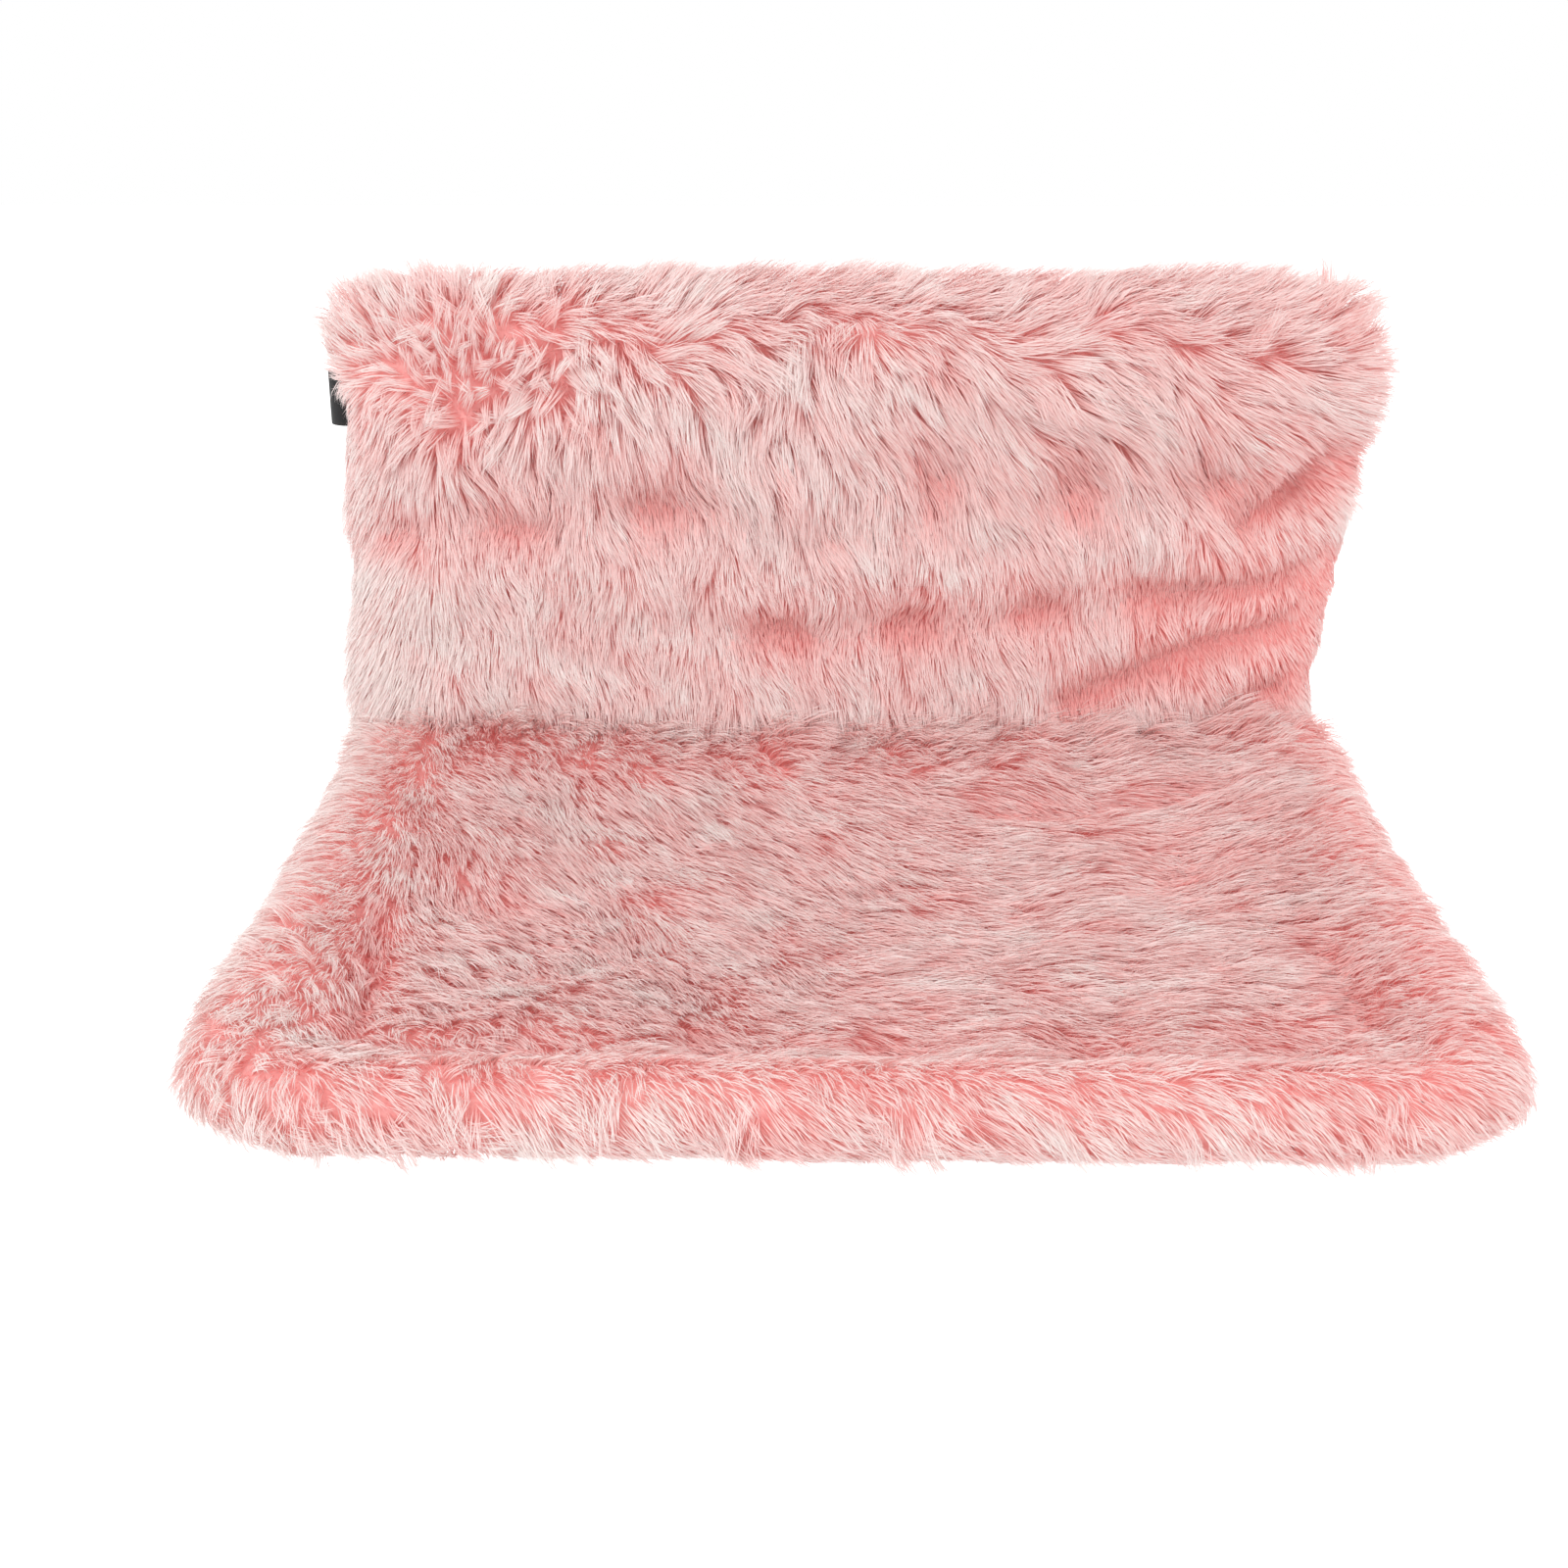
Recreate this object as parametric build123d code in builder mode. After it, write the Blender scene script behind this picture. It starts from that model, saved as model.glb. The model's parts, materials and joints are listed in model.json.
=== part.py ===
"""Radiator bed: a plush hammock on a push-fit tube frame, hung over a rail by two adjustable hooks.

The origin is on the rail: x = 0 in the middle of the bed, y = 0 where its back meets the face of
the rail, and z = 0 on top of the rail, where the hooks' pads rest. +Y runs into the rail.
"""

from build123d import *
import math
import os

os.makedirs("parts", exist_ok=True)

# Tube frame
frame_width = 460.0  # over the outsides of the side tubes
back_height = 215.0  # from the top bar down to the corner of back and seat
seat_depth = 298.0  # from that corner forward to the front bar
seat_drop = 4.0  # degrees that the seat falls towards its front
bar_height = 10.0  # centre of the top bar above the rail
tube_diameter = 12.0
tube_wall = 1.2
top_bend = 30.0
knee_bend = 30.0
front_bend = 35.0
joint_above_knee = 36.0  # straight tube between the knee bend and the push-fit joint
joint_before_bend = 30.0  # straight tube between the push-fit joint and the front bend
spigot_length = 25.0
spigot_clear = 0.1
swage_length = 3.0
bolt_radius = 2.0
bolt_clear = 0.15
bolt_head_radius = 3.8
bolt_head_height = 2.4
nut_flats = 7.0
nut_height = 3.2
nut_dome_radius = 3.1
nut_dome_height = 2.2
crossbar_from_bend = 9.0  # centre of the crossbar in front of the knee bend's end
insert_length = 22.0
crossbar_bolt_radius = 2.5

# Plush cover
pile = 17.0  # fabric and the fur that stands on it
cover_clear = 0.3  # soft pieces stay this far from what they cover
rear_cloth = 3.2  # cover behind the tubes, where it presses on the rail
rail_gap = 0.5  # between the cover's back and the rail
lining = 1.2
lining_recess = 6.1  # from the back of the rolled edge to the lining
wadding = 10.0
back_front_depth = 21.0  # front of the back panel before the tubes' centre plane
back_bulge = 7.0
fold_depth = 2.0
middle_fold_bulge = 5.0
lower_fold_bulge = 3.5
dimple_radius = 16.0
dimple_depth = 6.0
pleat_radius = 10.0  # at the edge of the cover, where a pleat is widest
pleat_end_radius = 4.0
pleat_depth = 8.0
edge_sag = 3.0
middle_sag = 32.0
seat_low = 10.0  # underside of the seat's edges below the tubes' centre plane
seat_front_rise = 12.0
fur_sag = 3.0  # how much deeper the fur's hollow is than the fabric's
wadding_margin = 14.0
wadding_corner = 8.0
overrun = 20.0  # how far a cut passes its piece

# Hooks
hook_spacing = 300.0
hook_gap = 50.0  # rail thickness that the hooks hold as drawn
hook_reach_in = 10.0  # travel of each hook to a thinner rail
hook_reach_out = 30.0  # travel of each hook to a thicker rail
strap_width = 20.0
strap_thickness = 3.0
strap_corner = 4.0
strap_front = 6.0
leg_length = 70.0
pad_thickness = 3.0
pad_front = 12.0
channel_wall = 2.0
channel_side_clear = 0.4
channel_lift = 2.5
slide_clear = 0.3
stud_place = 26.0
stud_radius = 2.9
stud_head_radius = 5.0
stud_head_height = 1.8
stud_length = 14.5
slot_end_wall = 6.0
washer_radius = 7.0
washer_thickness = 1.0
turn_clear = 0.2
knob_radius = 12.5
knob_height = 14.0
knob_edge = 2.0
knob_flute_radius = 5.0
knob_flute_depth = 1.8
knob_flutes = 6
insert_radius = 4.5
insert_height = 9.0
cap_wall = 2.0
cap_height = 16.0
binding_width = 2.2
binding_thickness = 0.8
slot_clear = 0.4

# Label loop in the side seam
label_height = 25.0
label_reach = 19.5
label_thickness = 1.6
label_below_rail = 28.0
label_proud = 3.0
label_fold_share = 0.45

# Zip in the back lining
zip_from_side = 50.0  # each end of the zip from the outside of the side tube
zip_below_rail = 140.0
tape_width = 12.0
tape_thickness = 0.6
teeth_width = 2.6
teeth_thickness = 1.6
teeth_gap = 0.2
zip_slot_height = 9.0
slider_length = 11.0
slider_wall = 1.3
slider_plate = 0.8
slider_end_gap = 4.0
pin_radius = 0.5
eye_radius = 1.4
eye_clear = 0.3
eye_width = 4.0
lug_width = 1.4
pull_length = 20.0
pull_width = 7.0
pull_thickness = 1.0
pull_corner = 1.7
stop_length = 2.4

# Frame lines worked out from the sizes above
tube_radius = tube_diameter / 2
bore_radius = tube_radius - tube_wall
channel_radius = tube_radius + cover_clear
roll_radius = channel_radius + pile
side_x = frame_width / 2 - tube_radius
back_y = -(channel_radius + rear_cloth + rail_gap)
knee_z = bar_height - back_height
drop = math.radians(seat_drop)
forward = Vector(0, -math.cos(drop), -math.sin(drop))
upward = Vector(0, -math.sin(drop), math.cos(drop))
knee_turn = math.pi / 2 - drop
knee_run = knee_bend * math.tan(knee_turn / 2)
seat_plane = Plane(origin=(0, back_y, knee_z), x_dir=(1, 0, 0), z_dir=upward)
mitre_half_gap = cover_clear / 2
sides = (("left", -1), ("right", 1))


def seat_point(x, along, above):
    """Point of the seat: so far forward of the corner and so far above the tubes' plane."""
    return Vector(x, back_y, knee_z) + forward * along + upward * above


def knee_point(x, share):
    """Point of the knee bend: share 0 is its top, 0.5 the mitre of back and seat, 1 its front."""
    angle = -knee_turn * share
    centre = Vector(x, back_y - knee_bend, knee_z + knee_run)
    return centre + Vector(0, math.cos(angle), math.sin(angle)) * knee_bend


def bent_line(points, radius):
    """Line through the points, with its corners bent to one radius."""
    with BuildLine() as line:
        FilletPolyline(*points, radius=radius)
    return line.line


def back_roll_line():
    """Tube centre line of the back, from mitre to mitre over the top bar."""
    with BuildLine() as line:
        corners = [knee_point(-side_x, 0), (-side_x, back_y, bar_height)]
        corners += [(side_x, back_y, bar_height), knee_point(side_x, 0)]
        ThreePointArc(*[knee_point(-side_x, share) for share in (0.5, 0.25, 0)])
        FilletPolyline(*corners, radius=top_bend)
        ThreePointArc(*[knee_point(side_x, share) for share in (0, 0.25, 0.5)])
    return line.line


def seat_roll_line():
    """Tube centre line of the seat, from mitre to mitre round its front."""
    with BuildLine() as line:
        corners = [knee_point(-side_x, 1), seat_point(-side_x, seat_depth, 0)]
        corners += [seat_point(side_x, seat_depth, 0), knee_point(side_x, 1)]
        ThreePointArc(*[knee_point(-side_x, share) for share in (0.5, 0.75, 1)])
        FilletPolyline(*corners, radius=front_bend)
        ThreePointArc(*[knee_point(side_x, share) for share in (1, 0.75, 0.5)])
    return line.line


def disc_on(line, radius, bore=0):
    """Disc, or ring where it has a bore, square to the start of a line."""
    with BuildSketch(Plane(origin=line @ 0, z_dir=line % 0)) as disc:
        Circle(radius)
        if bore:
            Circle(bore, mode=Mode.SUBTRACT)
    return disc.sketch


def rail_plane(x, y, z):
    """Upright plane at a place that faces the rail, with its own axes along world X and -Z."""
    return Plane(origin=(x, y, z), x_dir=(1, 0, 0), z_dir=(0, 1, 0))


def section_plane(x):
    """Plane across the bed at x, whose own axes are world Y and Z."""
    return Plane(origin=(x, 0, 0), x_dir=(0, 1, 0), z_dir=(1, 0, 0))


def seat_section_plane(x):
    """Plane across the bed at x, whose own axes run forward along the seat and up from it."""
    return Plane(origin=(x, back_y, knee_z), x_dir=forward, z_dir=(-1, 0, 0))


# Push-fit joints and bolts

joint_z = knee_z + knee_run + joint_above_knee
joint_along = seat_depth - front_bend - joint_before_bend
crossbar_along = knee_run + crossbar_from_bend
spigot_radius = bore_radius - spigot_clear
bolt_hole = bolt_radius + bolt_clear
back_bolt_z = joint_z + spigot_length / 2
front_bolt_along = joint_along + spigot_length / 2


def bolt_places(x):
    """Centres of the two push-fit joints' bolts in the side tube at x."""
    return (Vector(x, back_y, back_bolt_z), seat_point(x, front_bolt_along, 0))


def across(place):
    """Plane at a place whose normal is +X."""
    return Plane(origin=place, x_dir=(0, 1, 0), z_dir=(1, 0, 0))


# Steel tubes

back_tube_line = bent_line(
    [
        (-side_x, back_y, joint_z),
        (-side_x, back_y, bar_height),
        (side_x, back_y, bar_height),
        (side_x, back_y, joint_z),
    ],
    top_bend,
)
with BuildPart() as back_tube:
    sweep(sections=disc_on(back_tube_line, tube_radius, bore_radius), path=back_tube_line)
    for name, side in sides:
        with BuildSketch(across((side * side_x, back_y, back_bolt_z))):
            Circle(bolt_hole)
        extrude(amount=tube_diameter, both=True, mode=Mode.SUBTRACT)
back_tube.part.label = "back_tube"
export_step(back_tube.part, "parts/back_tube.step")

front_tube_line = bent_line(
    [
        seat_point(-side_x, joint_along, 0),
        seat_point(-side_x, seat_depth, 0),
        seat_point(side_x, seat_depth, 0),
        seat_point(side_x, joint_along, 0),
    ],
    front_bend,
)
with BuildPart() as front_tube:
    sweep(sections=disc_on(front_tube_line, tube_radius, bore_radius), path=front_tube_line)
    for name, side in sides:
        with BuildSketch(across(seat_point(side * side_x, front_bolt_along, 0))):
            Circle(bolt_hole)
        extrude(amount=tube_diameter, both=True, mode=Mode.SUBTRACT)
front_tube.part.label = "front_tube"
export_step(front_tube.part, "parts/front_tube.step")

for name, side in sides:
    x = side * side_x
    upper_end = Vector(x, back_y, joint_z)
    front_end = seat_point(x, joint_along, 0)
    side_line = bent_line([upper_end, (x, back_y, knee_z), front_end], knee_bend)
    spigot_planes = (
        Plane(origin=upper_end, x_dir=(1, 0, 0), z_dir=(0, 0, 1)),
        Plane(origin=front_end, x_dir=(1, 0, 0), z_dir=forward),
    )
    with BuildPart() as side_tube:
        sweep(sections=disc_on(side_line, tube_radius, bore_radius), path=side_line)
        for end in spigot_planes:
            with BuildSketch(end.offset(-swage_length)):
                Circle(tube_radius)
                Circle(spigot_radius - tube_wall, mode=Mode.SUBTRACT)
            extrude(amount=swage_length)
            with BuildSketch(end):
                Circle(spigot_radius)
                Circle(spigot_radius - tube_wall, mode=Mode.SUBTRACT)
            extrude(amount=spigot_length)
        for place in bolt_places(x):
            with BuildSketch(across(place)):
                Circle(bolt_hole)
            extrude(amount=tube_diameter, both=True, mode=Mode.SUBTRACT)
        with BuildSketch(across(seat_point(x, crossbar_along, 0))):
            Circle(crossbar_bolt_radius + bolt_clear)
        extrude(amount=tube_diameter, both=True, mode=Mode.SUBTRACT)
    side_tube.part.label = f"{name}_side_tube"
    export_step(side_tube.part, f"parts/{name}_side_tube.step")

with BuildPart() as knee_crossbar:
    with BuildSketch(across(seat_point(0, crossbar_along, 0))):
        Circle(tube_radius)
        Circle(bore_radius, mode=Mode.SUBTRACT)
    extrude(amount=side_x, both=True)
    for name, side in sides:
        end = seat_point(side * side_x, crossbar_along, 0)
        with BuildSketch(Plane(origin=end, x_dir=(1, 0, 0), z_dir=forward)):
            Circle(tube_radius)
        extrude(amount=tube_diameter, both=True, mode=Mode.SUBTRACT)
knee_crossbar.part.label = "knee_crossbar"
export_step(knee_crossbar.part, "parts/knee_crossbar.step")

with BuildPart() as crossbar_inserts:
    for name, side in sides:
        plug_x = side * (side_x - tube_diameter)
        with BuildSketch(across(seat_point(plug_x, crossbar_along, 0))):
            Circle(bore_radius)
            Circle(crossbar_bolt_radius + bolt_clear, mode=Mode.SUBTRACT)
        extrude(amount=-side * insert_length)
crossbar_inserts.part.label = "crossbar_inserts"
export_step(crossbar_inserts.part, "parts/crossbar_inserts.step")

with BuildPart() as crossbar_bolts:
    for name, side in sides:
        outside = side * (side_x + tube_radius)
        with BuildSketch(across(seat_point(outside, crossbar_along, 0))):
            Circle(bolt_head_radius)
        extrude(amount=side * bolt_head_height)
        with BuildSketch(across(seat_point(outside, crossbar_along, 0))):
            Circle(crossbar_bolt_radius)
        extrude(amount=-side * (tube_diameter + insert_length))
crossbar_bolts.part.label = "crossbar_bolts"
export_step(crossbar_bolts.part, "parts/crossbar_bolts.step")

with BuildPart() as joint_bolts:
    for name, side in sides:
        for place in bolt_places(side * (side_x + tube_radius)):
            with BuildSketch(across(place)):
                Circle(bolt_head_radius)
            extrude(amount=side * bolt_head_height)
            with BuildSketch(across(place)):
                Circle(bolt_radius)
            extrude(amount=-side * (tube_diameter + nut_height))
joint_bolts.part.label = "joint_bolts"
export_step(joint_bolts.part, "parts/joint_bolts.step")

with BuildPart() as joint_nuts:
    for name, side in sides:
        for place in bolt_places(side * (side_x - tube_radius)):
            with BuildSketch(across(place)):
                RegularPolygon(radius=nut_flats / 2, side_count=6, major_radius=False)
            extrude(amount=-side * nut_height)
            with BuildSketch(across(place)):
                Circle(nut_dome_radius)
            extrude(amount=-side * (nut_height + nut_dome_height))
            with BuildSketch(across(place)):
                Circle(bolt_radius)
            extrude(amount=-side * nut_height, mode=Mode.SUBTRACT)
joint_nuts.part.label = "joint_nuts"
export_step(joint_nuts.part, "parts/joint_nuts.step")

# Hooks: a channel welded behind the top bar, a strap that slides in it, and a knob that locks it

hook_x = hook_spacing / 2
strap_top = pad_thickness + strap_thickness
plate_low = strap_top + slide_clear
plate_top = plate_low + channel_wall
channel_inside = strap_width + 2 * channel_side_clear
channel_outside = channel_inside + 2 * channel_wall
stud_slot = stud_radius + slide_clear
channel_end = stud_place + hook_reach_out + stud_slot + slot_end_wall
leg_inside = hook_gap + pad_thickness
leg_outside = leg_inside + strap_thickness
washer_low = plate_top + turn_clear
knob_low = washer_low + washer_thickness + turn_clear
leg_low = strap_top - leg_length
cap_low = leg_low - cap_wall
cap_top = cap_low + cap_height
stud_low = pad_thickness - stud_head_height
top_bar = across((0, back_y, bar_height))

for name, side in sides:
    hx = side * hook_x
    centre = section_plane(hx)

    with BuildPart() as channel:
        with BuildSketch(rail_plane(hx, back_y, 0)):
            with BuildLine():
                half_out = channel_outside / 2
                half_in = channel_inside / 2
                Polyline(
                    (-half_out, -channel_lift),
                    (-half_out, -plate_top),
                    (half_out, -plate_top),
                    (half_out, -channel_lift),
                    (half_in, -channel_lift),
                    (half_in, -plate_low),
                    (-half_in, -plate_low),
                    (-half_in, -channel_lift),
                    close=True,
                )
            make_face()
        extrude(amount=channel_end - back_y)
        with BuildSketch(top_bar):
            Circle(tube_radius)
        extrude(amount=frame_width, both=True, mode=Mode.SUBTRACT)
        slot_middle = stud_place + (hook_reach_out - hook_reach_in) / 2
        slot_length = hook_reach_in + hook_reach_out + 2 * stud_slot
        with BuildSketch(Plane(origin=(hx, slot_middle, plate_low), x_dir=(0, 1, 0))):
            SlotOverall(slot_length, 2 * stud_slot)
        extrude(amount=overrun, both=True, mode=Mode.SUBTRACT)
    channel.part.label = f"{name}_hook_channel"
    export_step(channel.part, f"parts/{name}_hook_channel.step")

    with BuildPart() as strap:
        with BuildSketch(centre):
            with BuildLine():
                Polyline(
                    (strap_front, pad_thickness),
                    (leg_inside, pad_thickness),
                    (leg_inside, leg_low),
                    (leg_outside, leg_low),
                    (leg_outside, strap_top),
                    (strap_front, strap_top),
                    close=True,
                )
            make_face()
        extrude(amount=strap_width / 2, both=True)
        bend = strap.edges().filter_by(Axis.X)
        outer_bend = bend.filter_by_position(Axis.Y, leg_outside, leg_outside).sort_by(Axis.Z)[-1]
        fillet(outer_bend, strap_corner)
        with BuildSketch(Plane(origin=(hx, stud_place, pad_thickness))):
            Circle(stud_radius + spigot_clear)
        extrude(amount=strap_thickness, mode=Mode.SUBTRACT)
    strap.part.label = f"{name}_hook_strap"
    export_step(strap.part, f"parts/{name}_hook_strap.step")

    with BuildPart() as pad:
        with BuildSketch(centre):
            with BuildLine():
                Polyline(
                    (pad_front, 0),
                    (hook_gap, 0),
                    (hook_gap, cap_top + cover_clear),
                    (leg_inside, cap_top + cover_clear),
                    (leg_inside, pad_thickness),
                    (pad_front, pad_thickness),
                    close=True,
                )
            make_face()
        extrude(amount=strap_width / 2, both=True)
        with BuildSketch(Plane(origin=(hx, stud_place, stud_low - cover_clear))):
            Circle(stud_head_radius + cover_clear)
        extrude(amount=overrun, mode=Mode.SUBTRACT)
    pad.part.label = f"{name}_hook_pad"
    export_step(pad.part, f"parts/{name}_hook_pad.step")

    with BuildPart() as stud:
        with BuildSketch(Plane(origin=(hx, stud_place, stud_low))):
            Circle(stud_head_radius)
        extrude(amount=stud_head_height)
        with BuildSketch(Plane(origin=(hx, stud_place, pad_thickness))):
            Circle(stud_radius)
        extrude(amount=stud_length)
    stud.part.label = f"{name}_hook_stud"
    export_step(stud.part, f"parts/{name}_hook_stud.step")

    with BuildPart() as washer:
        with BuildSketch(Plane(origin=(hx, stud_place, washer_low))):
            Circle(washer_radius)
            Circle(stud_radius + spigot_clear, mode=Mode.SUBTRACT)
        extrude(amount=washer_thickness)
    washer.part.label = f"{name}_hook_washer"
    export_step(washer.part, f"parts/{name}_hook_washer.step")

    cap_middle = (leg_inside + leg_outside) / 2
    with BuildPart() as cap:
        with BuildSketch(Plane(origin=(hx, cap_middle, cap_low))):
            RectangleRounded(
                strap_width + 2 * cap_wall,
                strap_thickness + 2 * cap_wall,
                cap_wall,
            )
        extrude(amount=cap_height)
        with BuildSketch(Plane(origin=(hx, cap_middle, leg_low))):
            Rectangle(strap_width, strap_thickness)
        extrude(amount=cap_height, mode=Mode.SUBTRACT)
    cap.part.label = f"{name}_hook_cap"
    export_step(cap.part, f"parts/{name}_hook_cap.step")

    knob_plane = Plane(origin=(hx, stud_place, knob_low))
    with BuildPart() as knob:
        with BuildSketch(knob_plane):
            Circle(knob_radius)
            with PolarLocations(knob_radius + knob_flute_radius - knob_flute_depth, knob_flutes):
                Circle(knob_flute_radius, mode=Mode.SUBTRACT)
        extrude(amount=knob_height)
        fillet(knob.faces().sort_by(Axis.Z)[-1].edges(), knob_edge)
        with BuildSketch(knob_plane):
            Circle(insert_radius)
        extrude(amount=insert_height, mode=Mode.SUBTRACT)
    knob.part.label = f"{name}_knob"
    export_step(knob.part, f"parts/{name}_knob.step")

    with BuildPart() as insert:
        with BuildSketch(knob_plane):
            Circle(insert_radius)
            Circle(stud_radius + slide_clear, mode=Mode.SUBTRACT)
        extrude(amount=insert_height)
    insert.part.label = f"{name}_knob_insert"
    export_step(insert.part, f"parts/{name}_knob_insert.step")

# Back of the cover

roll_back = -rail_gap
lining_back = roll_back - lining_recess
lining_front = lining_back - lining
pad_back = lining_front - cover_clear
crease = Vector(0, back_y - knee_bend, knee_z + knee_run)
mitre_slope = -knee_run / knee_bend
section_shares = (-1.0, -0.6, -0.2, 0.2, 0.6, 1.0)
upper_fold_shares = (0.47, 0.56, 0.65, 0.66, 0.60, 0.54)
lower_fold_shares = (0.77, 0.80, 0.82, 0.81, 0.76, 0.68)
back_dimple_shares = (
    # to the right along side_x, down along back_height, forward along back_bulge
    (-0.71, 0.44, 0.7),
    (-0.39, 0.37, 0.8),
    (0.19, 0.22, 0.9),
    (0.48, 0.33, 0.9),
    (0.78, 0.31, 0.9),
    (-0.13, 0.68, 0.1),
    (0.15, 0.66, 0.1),
    (0.42, 0.62, 0.1),
    (0.66, 0.59, 0.1),
)
pleat_shares = (
    # widest end at the right edge, then the inner end, both to the right and down as above
    ((1.07, 0.24), (0.79, 0.44)),
    ((1.07, 0.53), (0.70, 0.59)),
    ((1.07, 0.62), (0.50, 0.83)),
    ((1.07, 0.77), (0.86, 0.86)),
)


def back_front_point(across_share, down_share, bulge_share):
    """Place on the back's front face, before it by a share of the upper bulge."""
    front = back_y - back_front_depth - back_bulge * bulge_share
    return Vector(side_x * across_share, front, bar_height - back_height * down_share)


def pleat_ends(outer, inner):
    """Centres of a pleat's two ends, as deep in the face as the pleat and its radii say."""
    sink = Vector(0, pleat_depth - pleat_radius, 0)
    return [back_front_point(*place, 0) + sink for place in (outer, inner)]


def back_section(share, upper_fold_share, lower_fold_share):
    """Section of the back panel: flat behind, with three bulges between its folds in front."""
    front = back_y - back_front_depth
    mitre_lift = mitre_half_gap * math.sqrt(1 + mitre_slope**2)
    low_back = knee_z + (pad_back - back_y) * mitre_slope + mitre_lift
    top = Vector(front, bar_height)
    upper_fold = Vector(front + fold_depth, bar_height - back_height * upper_fold_share)
    lower_fold = Vector(front, bar_height - back_height * lower_fold_share)
    foot = Vector(crease.Y, crease.Z + mitre_lift)

    def bulge(first, last, depth):
        ThreePointArc(first, (first + last) / 2 - Vector(depth, 0), last)

    with BuildSketch(section_plane(share * side_x)) as section:
        with BuildLine():
            Polyline(foot, (pad_back, low_back), (pad_back, bar_height), top)
            bulge(top, upper_fold, back_bulge)
            bulge(upper_fold, lower_fold, middle_fold_bulge)
            bulge(lower_fold, foot, lower_fold_bulge)
        make_face()
    return section.sketch


back_line = back_roll_line()
back_roll = disc_on(back_line, roll_radius)
back_channel = disc_on(back_line, channel_radius)
bolt_pocket = bolt_head_radius + cover_clear
nut_reach = nut_height + nut_dome_height + cover_clear
head_reach = bolt_head_height + cover_clear
wadding_x = side_x - roll_radius - wadding_margin
wadding_top = bar_height - roll_radius - wadding_margin
wadding_low = knee_z + roll_radius + knee_run
zip_z = -zip_below_rail
zip_length = frame_width - 2 * zip_from_side
label_outside = side_x + roll_radius + label_proud
label_plane = across((-label_outside, back_y, -label_below_rail))
slot_half_width = channel_outside / 2 + slot_clear
slot_low = channel_lift - slot_clear
slot_high = plate_top + slot_clear
slot_middle_z = (slot_low + slot_high) / 2
rail_side = Plane.XZ.offset(-roll_back)
wadding_height = wadding_top - wadding_low
wadding_face = rail_plane(0, pad_back, (wadding_top + wadding_low) / 2)

with BuildPart() as back_plush:
    shares = zip(section_shares, upper_fold_shares, lower_fold_shares)
    loft(sections=[back_section(*share_set) for share_set in shares])
    sweep(sections=back_roll, path=back_line)
    sweep(sections=back_channel, path=back_line, mode=Mode.SUBTRACT)
    split(bisect_by=rail_side, keep=Keep.TOP)
    with BuildSketch(wadding_face):
        Rectangle(2 * (wadding_x + cover_clear), wadding_height + 2 * cover_clear)
    extrude(amount=-(wadding + cover_clear), mode=Mode.SUBTRACT)
    for name, side in sides:
        for place in bolt_places(side * side_x):
            with BuildSketch(across(place)):
                Circle(bolt_pocket)
            extrude(amount=side * (tube_radius + head_reach), mode=Mode.SUBTRACT)
            with BuildSketch(across(place)):
                Circle(bolt_pocket)
            extrude(amount=-side * (tube_radius + nut_reach), mode=Mode.SUBTRACT)
        with BuildSketch(rail_plane(side * hook_x, 0, slot_middle_z)):
            Rectangle(2 * slot_half_width, slot_high - slot_low)
        extrude(amount=back_y, mode=Mode.SUBTRACT)
    with BuildSketch(label_plane):
        Rectangle(label_thickness + 2 * cover_clear, label_height + 2 * cover_clear)
    extrude(amount=label_reach + cover_clear, mode=Mode.SUBTRACT)
    dimple_sink = Vector(0, dimple_depth - dimple_radius, 0)
    with Locations(*[back_front_point(*place) + dimple_sink for place in back_dimple_shares]):
        Sphere(dimple_radius, mode=Mode.SUBTRACT)
    for ends in pleat_shares:
        outer, inner = pleat_ends(*ends)
        with BuildSketch(Plane(origin=outer, z_dir=inner - outer)):
            Circle(pleat_radius)
        with BuildSketch(Plane(origin=inner, z_dir=inner - outer)):
            Circle(pleat_end_radius)
        loft(mode=Mode.SUBTRACT)
back_plush.part.label = "back_plush"
export_step(back_plush.part, "parts/back_plush.step")

with BuildPart() as back_wadding:
    with BuildSketch(wadding_face):
        RectangleRounded(2 * wadding_x, wadding_height, wadding_corner)
    extrude(amount=-wadding)
back_wadding.part.label = "back_wadding"
export_step(back_wadding.part, "parts/back_wadding.step")

with BuildPart() as back_lining:
    lining_foot = knee_z + (lining_front - back_y) * mitre_slope + cover_clear
    with BuildSketch(Plane.XZ.offset(-lining_back)):
        with BuildLine():
            Polyline(
                (-side_x, lining_foot),
                (side_x, lining_foot),
                (side_x, bar_height),
                (-side_x, bar_height),
                close=True,
            )
        make_face()
    extrude(amount=lining)
    sweep(sections=disc_on(back_line, roll_radius + cover_clear), path=back_line, mode=Mode.SUBTRACT)
    with BuildSketch(Plane.XZ.offset(-lining_back)):
        with Locations((0, zip_z)):
            Rectangle(zip_length, zip_slot_height)
    extrude(amount=lining, mode=Mode.SUBTRACT)
back_lining.part.label = "back_lining"
export_step(back_lining.part, "parts/back_lining.step")

with BuildPart() as buttonhole_bindings:
    for name, side in sides:
        with BuildSketch(rail_plane(side * hook_x, roll_back, slot_middle_z)):
            RectangleRounded(
                2 * (slot_half_width + binding_width),
                slot_high - slot_low + 2 * binding_width,
                binding_width,
            )
            Rectangle(2 * slot_half_width, slot_high - slot_low, mode=Mode.SUBTRACT)
        extrude(amount=binding_thickness)
buttonhole_bindings.part.label = "buttonhole_bindings"
export_step(buttonhole_bindings.part, "parts/buttonhole_bindings.step")

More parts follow.
